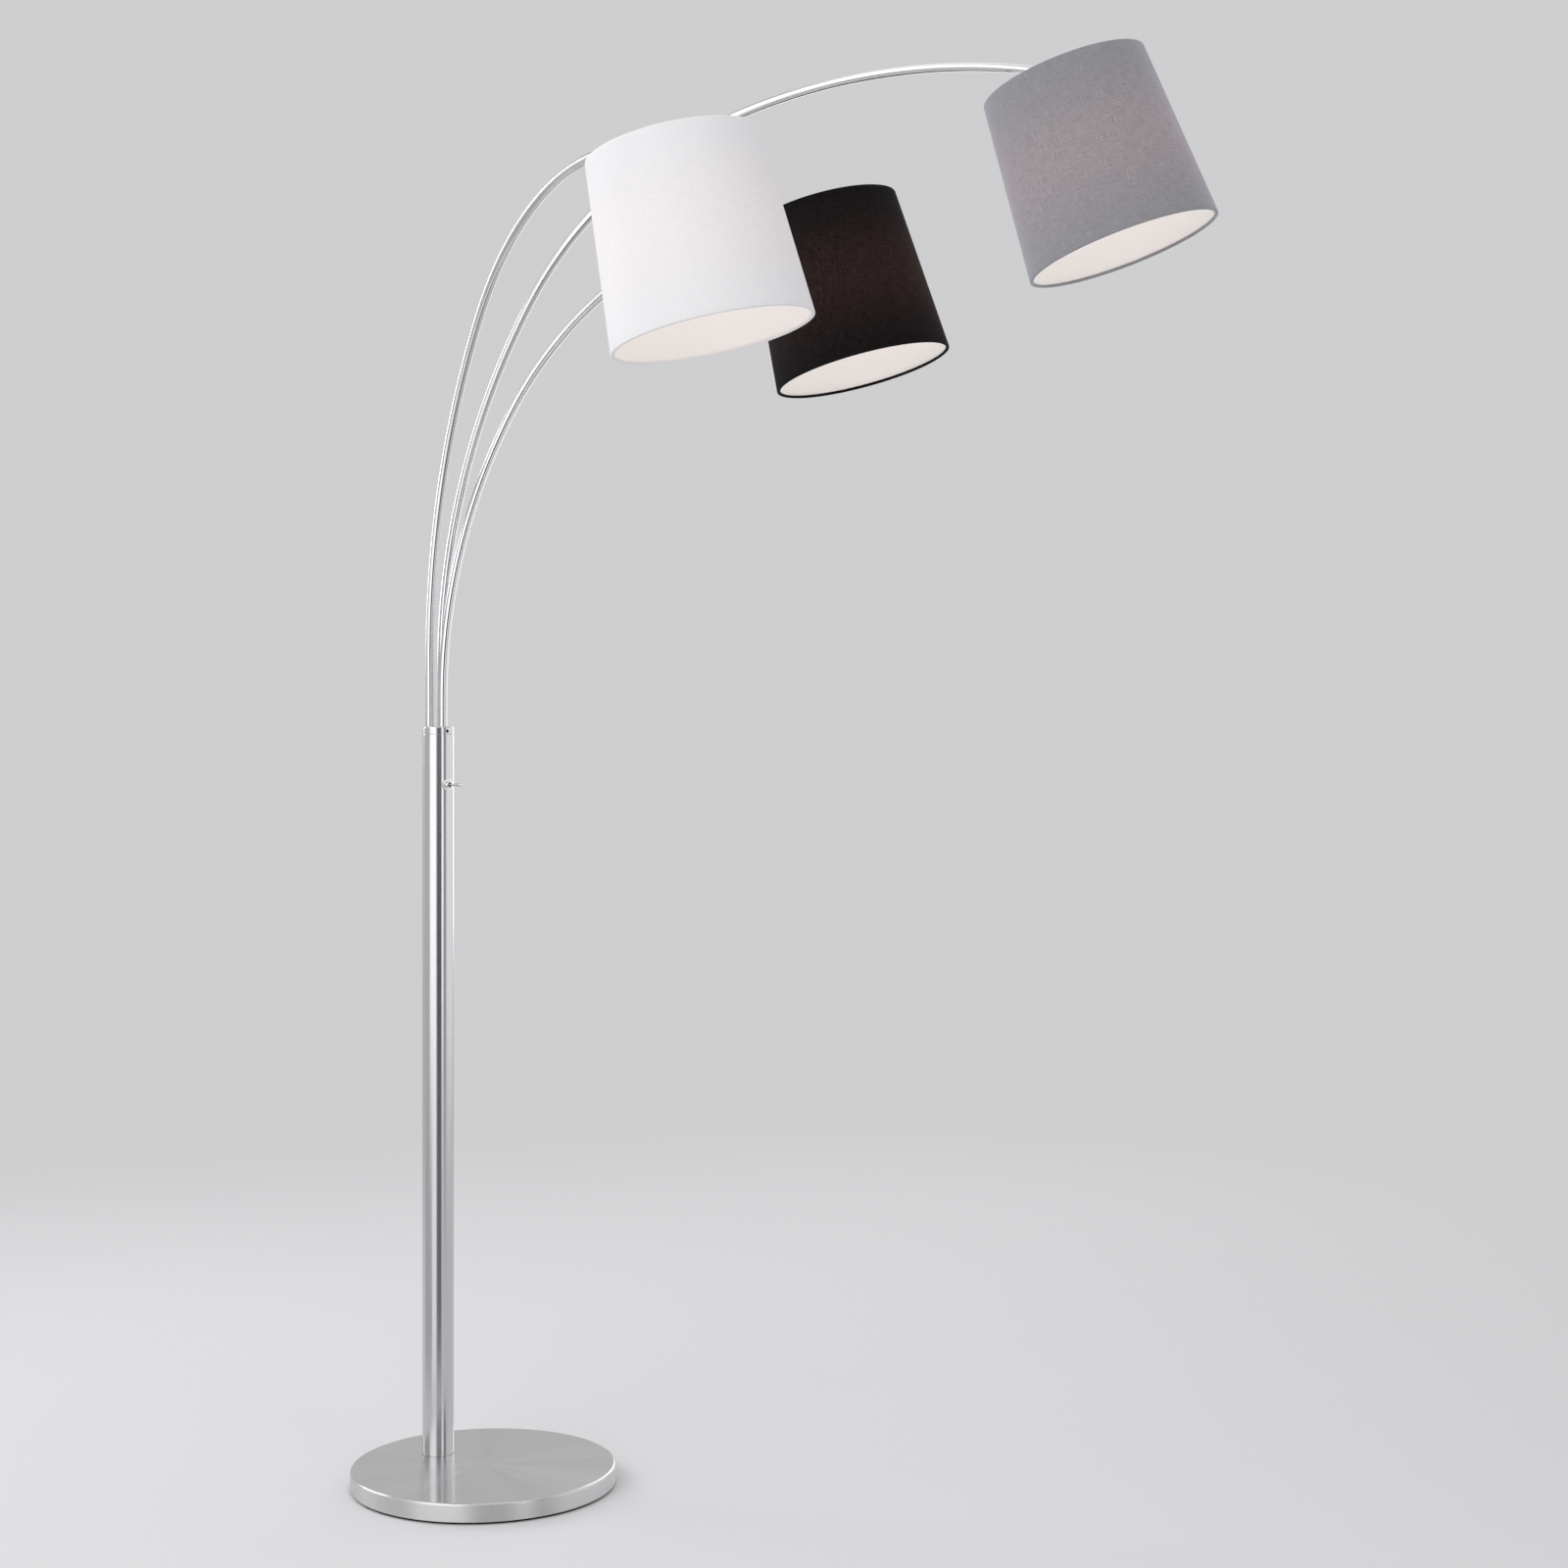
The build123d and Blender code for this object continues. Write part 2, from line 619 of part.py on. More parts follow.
def build_head(name, pivot, along, down, hinge):
    """Everything that tilts with one shade."""
    section = Plane(origin=pivot, x_dir=hinge, z_dir=hinge.cross(down))
    axis = Axis(pivot, down)
    level = Plane(origin=pivot, x_dir=hinge, z_dir=down)

    with BuildPart() as tongue:
        cheek = Plane(origin=pivot, x_dir=down, z_dir=hinge)
        with BuildSketch(cheek.offset(-tongue_thickness / 2)):
            Circle(knuckle_diameter / 2)
            Rectangle(tongue_length, knuckle_diameter, align=(Align.MIN, Align.CENTER))
            Circle(hinge_pin_diameter / 2 + running_gap, mode=Mode.SUBTRACT)
        extrude(amount=tongue_thickness)
        with BuildSketch(level.offset(tongue_length)):
            Circle(knuckle_diameter / 2)
        extrude(amount=tongue_hub_length)
        with BuildSketch(level.offset(hub_end)):
            Circle(nipple_diameter / 2)
        extrude(amount=nipple_length)
    save(tongue.part, f"{name}_knuckle_tongue")

    cap_shoulder = hub_end + holder_cap_height * holder_cap_shoulder_share
    cap_inner = holder_cap_diameter / 2 - holder_cap_wall
    holder_cap = turned(section, axis, [
        (nipple_diameter / 2 + running_gap, hub_end),
        (holder_cap_top_diameter / 2, hub_end),
        (holder_cap_diameter / 2, cap_shoulder),
        (holder_cap_diameter / 2, holder_cap_end),
        (cap_inner, holder_cap_end),
        (cap_inner, cap_shoulder + holder_cap_wall / 2),
        (holder_cap_top_diameter / 2, hub_end + 2 * holder_cap_wall),
        (nipple_diameter / 2 + running_gap, hub_end + 2 * holder_cap_wall),
    ])
    save(holder_cap, f"{name}_holder_cap")

    neck_radius = cap_inner - fit_gap
    holder = turned(section, axis, [
        (0, holder_cap_end - holder_neck_height),
        (neck_radius - holder_neck_height / 2, holder_cap_end - holder_neck_height),
        (neck_radius, holder_cap_end - holder_neck_height / 2),
        (neck_radius, holder_cap_end),
        (holder_flange_diameter / 2, holder_cap_end),
        (holder_flange_diameter / 2, flange_end),
        (holder_diameter / 2, flange_end),
        (holder_diameter / 2, holder_end),
        (socket_mouth_diameter / 2, holder_end),
        (socket_mouth_diameter / 2, holder_end - socket_mouth_depth),
        (socket_bore / 2, holder_end - socket_mouth_depth),
        (socket_bore / 2, socket_floor),
        (0, socket_floor),
    ])
    save(holder, f"{name}_lampholder")

    clamp_start = fitter_end
    clamp_end = clamp_start + shade_ring_height
    shade_ring = turned(section, axis, [
        (holder_diameter / 2 + running_gap, clamp_start),
        (shade_ring_diameter / 2, clamp_start),
        (shade_ring_diameter / 2, clamp_start + shade_ring_flange),
        (shade_ring_nose_diameter / 2, clamp_start + shade_ring_flange),
        (shade_ring_nose_diameter / 2, clamp_end),
        (holder_diameter / 2 + running_gap, clamp_end),
    ])
    save(shade_ring, f"{name}_shade_ring")

    # Shade: fabric outside, lining inside, and a rim wire in each end
    slant = hypot(1, shade_slope)

    def skin_radius(distance, depth):
        """Radius of the shade's wall at a distance along the axis, some depth inside its face."""
        return shade_top_diameter / 2 + (distance - shade_top) * shade_slope - depth * slant

    def skin(outer_depth, thickness):
        inner_depth = outer_depth + thickness
        return turned(section, axis, [
            (skin_radius(shade_top, outer_depth), shade_top),
            (skin_radius(shade_mouth, outer_depth), shade_mouth),
            (skin_radius(shade_mouth, inner_depth), shade_mouth),
            (skin_radius(shade_top, inner_depth), shade_top),
        ])

    save(skin(0, fabric_thickness), f"{name}_shade_fabric")
    lining_depth = fabric_thickness + lining_gap
    save(skin(lining_depth, lining_thickness), f"{name}_shade_lining")

    wire_radius = rim_wire_diameter / 2
    wire_depth = lining_depth + lining_thickness + wire_radius + running_gap
    rim_levels = {"top": shade_top + wire_radius, "mouth": shade_mouth - wire_radius}
    for rim, distance in rim_levels.items():
        with BuildPart() as wire:
            with BuildSketch(section):
                with Locations((skin_radius(distance, wire_depth), distance)):
                    Circle(wire_radius)
            revolve(axis=axis)
        save(wire.part, f"{name}_{rim}_rim")

    # Fitter: centre ring under the holder's flange, and three spokes up to the top rim
    rim_radius = skin_radius(rim_levels["top"], wire_depth)
    root = (fitter_ring_diameter - fitter_thickness) / 2
    with BuildPart() as fitter:
        with BuildSketch(level.offset(flange_end)):
            Circle(fitter_ring_diameter / 2)
            Circle(holder_diameter / 2 + fit_gap, mode=Mode.SUBTRACT)
        extrude(amount=fitter_thickness)
        for index in range(spoke_count):
            turn = radians(90 + (index + 1 / 2) * 360 / spoke_count)
            side = hinge * cos(turn) + level.y_dir * sin(turn)
            spoke_start = pivot + side * root + down * spoke_level
            run = pivot + side * rim_radius + down * rim_levels["top"] - spoke_start
            with BuildSketch(Plane(origin=spoke_start, z_dir=run)):
                Circle(spoke_diameter / 2)
            extrude(amount=run.length - wire_radius - running_gap)
    save(fitter.part, f"{name}_shade_fitter")

    # Bulb: a screw cap in the socket and a round glass below it
    bulb_cap = turned(section, axis, [
        (0, bulb_cap_top),
        (bulb_cap_diameter / 4, bulb_cap_top),
        (bulb_cap_diameter / 2, bulb_cap_top + bulb_cap_diameter / 4),
        (bulb_cap_diameter / 2, bulb_cap_bottom),
        (0, bulb_cap_bottom),
    ])
    save(bulb_cap, f"{name}_bulb_cap")

    with BuildPart() as bulb_glass:
        with BuildSketch(section):
            with BuildLine():
                neck = bulb_neck_diameter / 2
                round_radius = bulb_diameter / 2
                meet = (round_radius**2 - neck**2) ** 0.5
                meet_angle = degrees(atan2(-meet, neck))
                top = Line((neck - bulb_wall, bulb_cap_bottom), (neck, bulb_cap_bottom))
                side = Line(top @ 1, (neck, bulb_centre - meet))
                globe = CenterArc((0, bulb_centre), round_radius, meet_angle, 90 - meet_angle)
                inner_radius = round_radius - bulb_wall
                inner_neck = neck - bulb_wall
                inner_meet = (inner_radius**2 - inner_neck**2) ** 0.5
                inner_angle = degrees(atan2(-inner_meet, inner_neck))
                inside = CenterArc((0, bulb_centre), inner_radius, inner_angle, 90 - inner_angle)
                Line(globe @ 1, inside @ 1)
                Line(inside @ 0, top @ 0)
            make_face()
        revolve(axis=axis)
    save(bulb_glass.part, f"{name}_bulb_glass")


lamps = {
    "black": (
        black_swing_angle, black_rise,
        [(black_low_radius, black_low_angle), (black_mid_radius, black_mid_angle),
         (black_end_radius, black_end_angle)],
        black_tilt_angle, black_heading_angle,
    ),
    "grey": (
        grey_swing_angle, grey_rise,
        [(grey_low_radius, grey_low_angle), (grey_mid_radius, grey_mid_angle),
         (grey_end_radius, grey_end_angle)],
        grey_tilt_angle, grey_heading_angle,
    ),
    "white": (
        white_swing_angle, white_rise,
        [(white_low_radius, white_low_angle), (white_mid_radius, white_mid_angle),
         (white_end_radius, white_end_angle)],
        white_tilt_angle, white_heading_angle,
    ),
}

joint_places = {"switch": (switch_pivot, Vector(0, 0, 1))}
for index, (name, (swing, rise, bends, tilt, heading)) in enumerate(lamps.items()):
    path = arm_path(index, swing, rise, bends)
    pivot, along, down, hinge = head_frame(path, tilt, heading)
    build_arm(name, index, path)
    build_fork(name, pivot, along, hinge)
    build_hinge_screw(name, pivot, along, hinge)
    build_head(name, pivot, along, down, hinge)
    joint_places[f"{name}_swing"] = (foot_point(index, cap_top), Vector(0, 0, 1))
    joint_places[f"{name}_tilt"] = (pivot, hinge)

for joint, (place, direction) in joint_places.items():
    print(joint, tuple(round(value, 3) for value in place), tuple(round(value, 5) for value in direction))
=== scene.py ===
import json

import bmesh
import bpy
from math import cos, hypot, pi, radians, sin, tan
from mathutils import Matrix, Vector


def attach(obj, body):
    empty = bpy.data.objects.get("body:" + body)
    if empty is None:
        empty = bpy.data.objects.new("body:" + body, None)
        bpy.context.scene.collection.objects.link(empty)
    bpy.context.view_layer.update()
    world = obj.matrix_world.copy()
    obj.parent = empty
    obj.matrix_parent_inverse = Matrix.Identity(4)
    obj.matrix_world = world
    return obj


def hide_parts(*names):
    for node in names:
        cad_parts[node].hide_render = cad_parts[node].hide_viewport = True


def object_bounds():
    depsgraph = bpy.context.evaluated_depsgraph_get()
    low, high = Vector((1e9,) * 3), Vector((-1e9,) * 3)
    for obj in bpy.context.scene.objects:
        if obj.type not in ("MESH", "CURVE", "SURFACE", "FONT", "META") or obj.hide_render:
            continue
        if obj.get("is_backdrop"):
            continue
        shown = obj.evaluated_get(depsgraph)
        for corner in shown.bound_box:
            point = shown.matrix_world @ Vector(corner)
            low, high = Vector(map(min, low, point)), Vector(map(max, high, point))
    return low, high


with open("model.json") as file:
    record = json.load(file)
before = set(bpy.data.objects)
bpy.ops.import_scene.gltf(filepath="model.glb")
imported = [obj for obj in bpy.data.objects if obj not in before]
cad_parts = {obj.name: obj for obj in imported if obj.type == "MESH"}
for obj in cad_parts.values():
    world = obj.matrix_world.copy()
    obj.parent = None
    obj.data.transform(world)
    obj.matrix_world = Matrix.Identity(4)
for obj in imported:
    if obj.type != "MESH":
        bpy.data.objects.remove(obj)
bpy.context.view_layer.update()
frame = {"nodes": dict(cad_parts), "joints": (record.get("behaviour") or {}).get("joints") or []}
scene = bpy.context.scene
scene.view_settings.view_transform = "Standard"


# Camera: level, just below the column's top and a little over three metres from it. The
# arms sweep across the frame from left to right, and the base is low on the left.
horizon_lift = 31 / 1600
camera = bpy.data.objects.new("camera", bpy.data.cameras.new("camera"))
camera.data.sensor_width = 36.0
camera.data.lens = 56.25
camera.data.shift_y = -horizon_lift
camera.location = (2.2443, -2.1306, 0.9156)
camera.rotation_euler = Vector((-0.6361, 0.7716, 0.0)).to_track_quat("-Z", "Y").to_euler()
scene.collection.objects.link(camera)
scene.camera = camera


# Floor: a pale, quite matt studio floor that fades into the backdrop a few metres out, so
# that no horizon shows. It isn't part of the lamp.
class Net:
    """A socket in a node tree. Arithmetic on it adds Math nodes."""

    def __init__(self, tree, socket=None):
        self.tree = tree
        self.socket = socket

    def node(self, kind, settings=None, sockets=None, output=0):
        """One node: its settings first, then the values or links of its sockets."""
        made = self.tree.nodes.new(kind)
        for name, value in (settings or {}).items():
            setattr(made, name, value)
        for name, value in (sockets or {}).items():
            socket = made.inputs[name]
            if isinstance(value, Net):
                self.tree.links.new(value.socket, socket)
            elif socket.type == "RGBA" and len(value) == 3:
                socket.default_value = (*value, 1.0)
            else:
                socket.default_value = value
        return Net(self.tree, made.outputs[output] if made.outputs else None)

    def math(self, operation, *others):
        return self.node("ShaderNodeMath", {"operation": operation}, dict(enumerate((self, *others))))

    def __add__(self, other):
        return self.math("ADD", other)

    def __mul__(self, other):
        return self.math("MULTIPLY", other)

    def __sub__(self, other):
        return self.math("SUBTRACT", other)

    def __rsub__(self, other):
        return (self * -1.0).math("ADD", other)

    def __truediv__(self, other):
        return self.math("DIVIDE", other)

    def length(self, vector):
        return self.node("ShaderNodeVectorMath", {"operation": "LENGTH"}, {0: vector}, output=1)

    def split(self):
        """The three parts of a vector."""
        apart = self.node("ShaderNodeSeparateXYZ", {}, {0: self})
        return [Net(self.tree, socket) for socket in apart.socket.node.outputs]

    def join(self, x, y, z=0.0):
        return self.node("ShaderNodeCombineXYZ", {}, {0: x, 1: y, 2: z})

    def mix(self, factor, low, high):
        """A colour between two others."""
        return self.node("ShaderNodeMix", {"data_type": "RGBA"}, {0: factor, 6: low, 7: high}, output=2)

    def noise(self, vector, scale, detail=2.0, roughness=0.5):
        sockets = {"Vector": vector, "Scale": scale, "Detail": detail, "Roughness": roughness}
        return self.node("ShaderNodeTexNoise", {}, sockets)

    def bump(self, height, strength, distance):
        sockets = {"Height": height, "Strength": strength, "Distance": distance}
        return self.node("ShaderNodeBump", {}, sockets)


def start_finish(name):
    """A new material, the start of its node tree, and the object's own coordinates."""
    material = bpy.data.materials.new(name)
    material.use_nodes = True
    material.node_tree.nodes.clear()
    net = Net(material.node_tree)
    return material, net, net.node("ShaderNodeTexCoord", output=3)


def end_finish(net, sockets):
    """One Principled shader, straight into the output."""
    shader = net.node("ShaderNodeBsdfPrincipled", {}, sockets)
    net.node("ShaderNodeOutputMaterial", {}, {"Surface": shader})


floor_half = 5.0
fade_start, fade_end = 0.7, 3.2
floor_finish, net, place = start_finish("studio_floor")
floor_shader = net.node(
    "ShaderNodeBsdfPrincipled", {},
    {"Base Color": (0.72, 0.72, 0.73), "Roughness": 0.9, "Specular IOR Level": 0.0},
)
fade = net.node(
    "ShaderNodeMapRange", {"interpolation_type": "SMOOTHSTEP"},
    {"Value": net.length(place), "From Min": fade_start, "From Max": fade_end, "To Min": 0.0, "To Max": 1.0},
)
clear = net.node("ShaderNodeBsdfTransparent")
floor_mix = net.node("ShaderNodeMixShader", {}, {0: fade, 1: floor_shader, 2: clear})
net.node("ShaderNodeOutputMaterial", {}, {"Surface": floor_mix})
floor_corners = [(x * floor_half, y * floor_half, 0.0) for x, y in ((-1, -1), (1, -1), (1, 1), (-1, 1))]
floor_mesh = bpy.data.meshes.new("floor")
floor_mesh.from_pydata(floor_corners, [], [(0, 1, 2, 3)])
floor = bpy.data.objects.new("floor", floor_mesh)
floor.data.materials.append(floor_finish)
scene.collection.objects.link(floor)
floor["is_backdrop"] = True


# Studio light: an even pale room, a broad lamp at the left with one above it, narrow ones at
# the far left and the right, one behind and one overhead. Pale, grey and dark cards draw the
# stripes in the steel, and only reflections show them.
backdrop = (0.62, 0.62, 0.63)
column_x = -0.084
world = bpy.data.worlds.new("studio")
scene.world = world
world.use_nodes = True
world.node_tree.nodes.clear()
room = Net(world.node_tree)
room_shader = room.node("ShaderNodeBackground", {}, {"Color": backdrop, "Strength": 1.0})
room.node("ShaderNodeOutputWorld", {}, {"Surface": room_shader})


def softbox(name, azimuth, distance, height, size, power):
    """An area light at an azimuth round the base's middle, facing the lamp."""
    aim_x, aim_y, highest_aim = 0.1, 0.05, 1.1
    data = bpy.data.lights.new(name, "AREA")
    data.shape = "RECTANGLE"
    data.size, data.size_y = size
    data.energy = power
    light = bpy.data.objects.new(name, data)
    light.location = (distance * cos(radians(azimuth)), distance * sin(radians(azimuth)), height)
    aim = Vector((aim_x, aim_y, min(height, highest_aim))) - light.location
    light.rotation_euler = aim.to_track_quat("-Z", "Y").to_euler()
    light.visible_camera = False
    scene.collection.objects.link(light)


softbox("softbox_left", -83.5, 2.6, 1.65, (2.2, 3.1), 22.0)
softbox("softbox_far_left", -170.0, 3.0, 2.0, (1.1, 1.7), 24.0)
softbox("softbox_upper", -112.0, 1.9, 3.3, (2.8, 1.8), 15.0)
softbox("softbox_right", -10.0, 3.0, 1.6, (0.64, 2.9), 7.0)
softbox("softbox_back", 110.0, 3.2, 1.6, (1.6, 2.4), 16.0)
softbox("softbox_top", 30.0, 0.6, 3.6, (2.4, 2.4), 10.0)


def flag(name, tone, azimuth, corners):
    """A card seen only in reflections, from (distance, aside, height) corners along an azimuth."""
    finish, net, _ = start_finish(name)
    end_finish(net, {
        "Base Color": (0.0, 0.0, 0.0), "Specular IOR Level": 0.0,
        "Emission Color": (tone, tone, tone * 1.02), "Emission Strength": 1.0,
    })
    out_x, out_y = cos(radians(azimuth)), sin(radians(azimuth))
    mesh = bpy.data.meshes.new(name)
    mesh.from_pydata([
        (distance * out_x - aside * out_y + column_x, distance * out_y + aside * out_x, height)
        for distance, aside, height in corners
    ], [], [(0, 1, 2, 3)])
    card = bpy.data.objects.new(name, mesh)
    card.data.materials.append(finish)
    card.visible_camera = False
    card.visible_diffuse = False
    card.visible_shadow = False
    scene.collection.objects.link(card)
    card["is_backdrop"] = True


flag_azimuth = -34.5
card_top = 3.4
for name, tone, azimuth, distance, half_width in (
    ("dark_flag_front", 0.04, flag_azimuth, 4.6, 1.4), ("pale_card_left", 1.35, -61.0, 3.0, 0.33),
    ("grey_card_right", 0.34, 6.0, 3.3, 0.5), ("pale_card_right", 1.08, 53.5, 3.4, 2.3),
):
    flag(name, tone, azimuth, [
        (distance, -half_width, 0.0), (distance, half_width, 0.0),
        (distance, half_width, card_top), (distance, -half_width, card_top),
    ])
above_floor = 0.002
for name, tone, azimuth, spread, near, far in (
    ("dark_floor_front", 0.16, flag_azimuth, 16.5, 0.55, 4.6),
    ("bright_floor_left", 1.05, -70.5, 13.5, 0.45, 2.6),
    ("grey_floor_left", 0.50, -117.0, 30.0, 0.45, 3.0),
):
    flag(name, tone, azimuth, [
        (distance, side * distance * tan(radians(spread)), above_floor)
        for distance, side in ((near, -1), (near, 1), (far, 1), (far, -1))
    ])
flag("level_card_front", 0.62, flag_azimuth, [
    (1.0, -0.5, 1.05), (1.0, 0.5, 1.05), (4.55, 1.5, 1.05), (4.55, -1.5, 1.05),
])


# Base pad: black felt under the whole base, cut from sheet, with a hole below the column's
# bolt. It keeps the steel off the floor and shows as a thin dark line.
weld_distance = 1e-7
hole_sides = 48
same = Matrix.Identity(4)


def finished(name, mesh, material, body, node, place=same, crease=35.0):
    """Turns a bmesh into a piece in its place: smooth but for its creases, riding on its body."""
    bmesh.ops.remove_doubles(mesh, verts=mesh.verts, dist=weld_distance)
    bmesh.ops.recalc_face_normals(mesh, faces=mesh.faces)
    mesh.transform(place)
    data = bpy.data.meshes.new(name)
    mesh.to_mesh(data)
    mesh.free()
    return placed(name, data, material, body, node, crease)


def placed(name, data, material, body, node, crease=35.0):
    """A piece from a finished mesh, with its material and body, in place of the node it stands for."""
    data.shade_smooth()
    data.set_sharp_from_angle(angle=radians(crease))
    data.materials.clear()
    data.materials.append(material)
    piece = bpy.data.objects.new(name, data)
    scene.collection.objects.link(piece)
    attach(piece, body)
    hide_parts(node)
    return piece


def ring_points(radius, height, count, centre=(0.0, 0.0)):
    return [
        (centre[0] + radius * cos(2 * pi * k / count), centre[1] + radius * sin(2 * pi * k / count), height)
        for k in range(count)
    ]


def add_loop(mesh, points):
    """A closed loop of new edges."""
    verts = [mesh.verts.new(point) for point in points]
    return verts, [mesh.edges.new((verts[k - 1], verts[k])) for k in range(len(verts))]


def add_wall(mesh, lower, upper):
    """Faces between two loops of the same count."""
    for k in range(len(lower)):
        mesh.faces.new((lower[k - 1], lower[k], upper[k], upper[k - 1]))


def pierced_disc(mesh, radius, height, count, hole_radius, centres):
    """A flat disc with equal round holes."""
    rim, edges = add_loop(mesh, ring_points(radius, height, count))
    loops = []
    for centre in centres:
        loop, loop_edges = add_loop(mesh, ring_points(hole_radius, height, hole_sides, centre))
        loops.append(loop)
        edges += loop_edges
    bmesh.ops.triangle_fill(mesh, use_beauty=True, edges=edges)
    return rim, loops


pad_finish, net, place = start_finish("black_felt")
fluff = net.noise(place, 900.0, 3.0, 0.7)
clumps = net.noise(place, 120.0, 2.0)
end_finish(net, {
    "Base Color": net.mix(fluff * 0.6 + clumps * 0.4, (0.006, 0.006, 0.007), (0.028, 0.028, 0.03)),
    "Roughness": 0.95,
    "Normal": net.bump(fluff, 0.6, 0.0006),
})
pad_radius, pad_thickness = 0.161, 0.003
pad_sides = 160
bolt_hole, bolt_centres = 0.0185, [(column_x, 0.0)]
pad = bmesh.new()
pad_low, pad_low_holes = pierced_disc(pad, pad_radius, 0.0, pad_sides, bolt_hole, bolt_centres)
pad_high, pad_high_holes = pierced_disc(pad, pad_radius, pad_thickness, pad_sides, bolt_hole, bolt_centres)
add_wall(pad, pad_low, pad_high)
add_wall(pad, pad_low_holes[0], pad_high_holes[0])
finished("base_felt_pad", pad, pad_finish, "stand", "base_pad")


# Weight inside the base: one iron casting, left raw, seen only from below through the pad's
# hole. The bolt, its washer and the plug that it pulls down are plain turned parts.
def cad_finish(material, *nodes):
    """Gives CAD nodes that keep their own shape a better finish."""
    for node in nodes:
        held = frame["nodes"][node]
        held.data.materials.clear()
        held.data.materials.append(material)


iron_finish, net, place = start_finish("raw_casting")
sand = net.noise(place, 700.0, 4.0, 0.65)
patches = net.noise(place, 30.0, 3.0)
end_finish(net, {
    "Base Color": net.mix(patches, (0.045, 0.043, 0.042), (0.11, 0.105, 0.10)),
    "Metallic": 0.8,
    "Roughness": sand * 0.3 + 0.5,
    "Normal": net.bump(sand, 0.5, 0.0008),
})
cad_finish(iron_finish, "base_weight")

zinc_finish, net, place = start_finish("bright_zinc")
grain = net.noise(place, 1500.0, 2.0)
end_finish(net, {
    "Base Color": net.mix(grain, (0.50, 0.51, 0.53), (0.62, 0.63, 0.65)),
    "Metallic": 1.0,
    "Roughness": grain * 0.15 + 0.25,
})
cad_finish(zinc_finish, "column_bolt", "column_washer", "retainer_plate", "retainer_screw", "foot_plug")


# Base cover: sheet steel spun over the weight and then brushed in circles round its centre,
# with a soft rounded rim. The circular brushing gives the two bright fans on its top, and
# radial streaks painted into its colour add painted highlight fans.
def turned_steel(name, centre_x, tone, ring_scale, arc_scale, rough, tangential, rim=1.0, side_rough=0.0):
    """Brushed steel whose fine scratches run round an upright axis, with painted highlight fans in its colour;
    beyond its rim it is rougher and its colour is painted lighter.
    """
    material, net, place = start_finish(name)
    x, y, z = place.split()
    x = x - centre_x
    radius = net.length(net.join(x, y))
    across = (radius + z) * ring_scale
    turn_x = x / (radius + 0.0001) * arc_scale
    turn_y = y / (radius + 0.0001) * arc_scale
    scratches = net.noise(net.join(across, turn_x, turn_y), 1.0, 3.0, 0.6)
    # Radial streaks painted into the colour as highlight fans; they also vary the roughness.
    painted_highlight_fans = net.noise(net.join(turn_x * 1.6, turn_y * 1.6, across * 0.001), 1.0, 3.0, 0.6)
    # Beyond the rim the side is rougher, and its colour is painted lighter as painted light.
    side_rough_and_painted_light = net.node("ShaderNodeClamp", {}, {"Value": (radius - rim) * 600.0})
    dark = tuple(value * 0.86 for value in tone)
    light = tuple(value * 1.1 for value in tone)
    end_finish(net, {
        "Base Color": net.mix(scratches * 0.5 + painted_highlight_fans * 1.1 + side_rough_and_painted_light * 0.4 - 0.3, dark, light),
        "Metallic": 1.0,
        "Roughness": scratches * 0.05 + painted_highlight_fans * 0.05 + side_rough_and_painted_light * side_rough + (rough - 0.05),
        "Anisotropic": tangential,
        "Anisotropic Rotation": 0.25,
        "Normal": net.bump(scratches, 0.04, 0.00004),
    })
    return material


def rounded(corners):
    """A closed outline from (radius, distance, fillet) corners, with a short flat at each fillet."""
    flat_share, steps = 0.25, 5
    points = []
    count = len(corners)
    for k, (x, y, fillet) in enumerate(corners):
        here = Vector((x, y))
        if not fillet:
            points.append((x, y))
            continue
        back = (Vector(corners[k - 1][:2]) - here).normalized()
        on = (Vector(corners[(k + 1) % count][:2]) - here).normalized()
        half = back.angle(on) / 2
        reach = fillet / tan(half)
        centre = here + (back + on).normalized() * fillet / sin(half)
        start = here + back * reach - centre
        end = here + on * reach - centre
        points.append(tuple(here + back * reach * (1 + flat_share)))
        for step in range(steps + 1):
            spoke = start.lerp(end, step / steps).normalized() * fillet
            points.append(tuple(centre + spoke))
        points.append(tuple(here + on * reach * (1 + flat_share)))
    return points


def turned(outline, segments=96, closed=True, swell=None, mesh=None):
    """Turns an outline of (radius, distance) about Z, with a UV map in metres."""
    mesh = mesh or bmesh.new()
    uv = mesh.loops.layers.uv.verify()
    widest = max(radius for radius, _ in outline)
    rings = []
    for radius, distance in outline:
        if radius < weld_distance:
            rings.append([mesh.verts.new((0.0, 0.0, distance))] * segments)
            continue
        ring = []
        for k in range(segments):
            angle = 2 * pi * k / segments
            wide = radius + (swell(angle) if swell else 0.0)
            ring.append(mesh.verts.new((wide * cos(angle), wide * sin(angle), distance)))
        rings.append(ring)
    run = 0.0
    for i in range(len(outline) if closed else len(outline) - 1):
        j = (i + 1) % len(outline)
        step = hypot(outline[j][0] - outline[i][0], outline[j][1] - outline[i][1])
        if max(outline[i][0], outline[j][0]) > weld_distance:
            for k in range(segments):
                n = (k + 1) % segments
                places = {}
                for vert, u, v in (
                    (rings[i][k], k, run), (rings[i][n], k + 1, run),
                    (rings[j][n], k + 1, run + step), (rings[j][k], k, run + step),
                ):
                    places.setdefault(vert, (u / segments * 2 * pi * widest, v))
                face = mesh.faces.new(places)
                for loop in face.loops:
                    loop[uv].uv = places[loop.vert]
        run += step
    return mesh


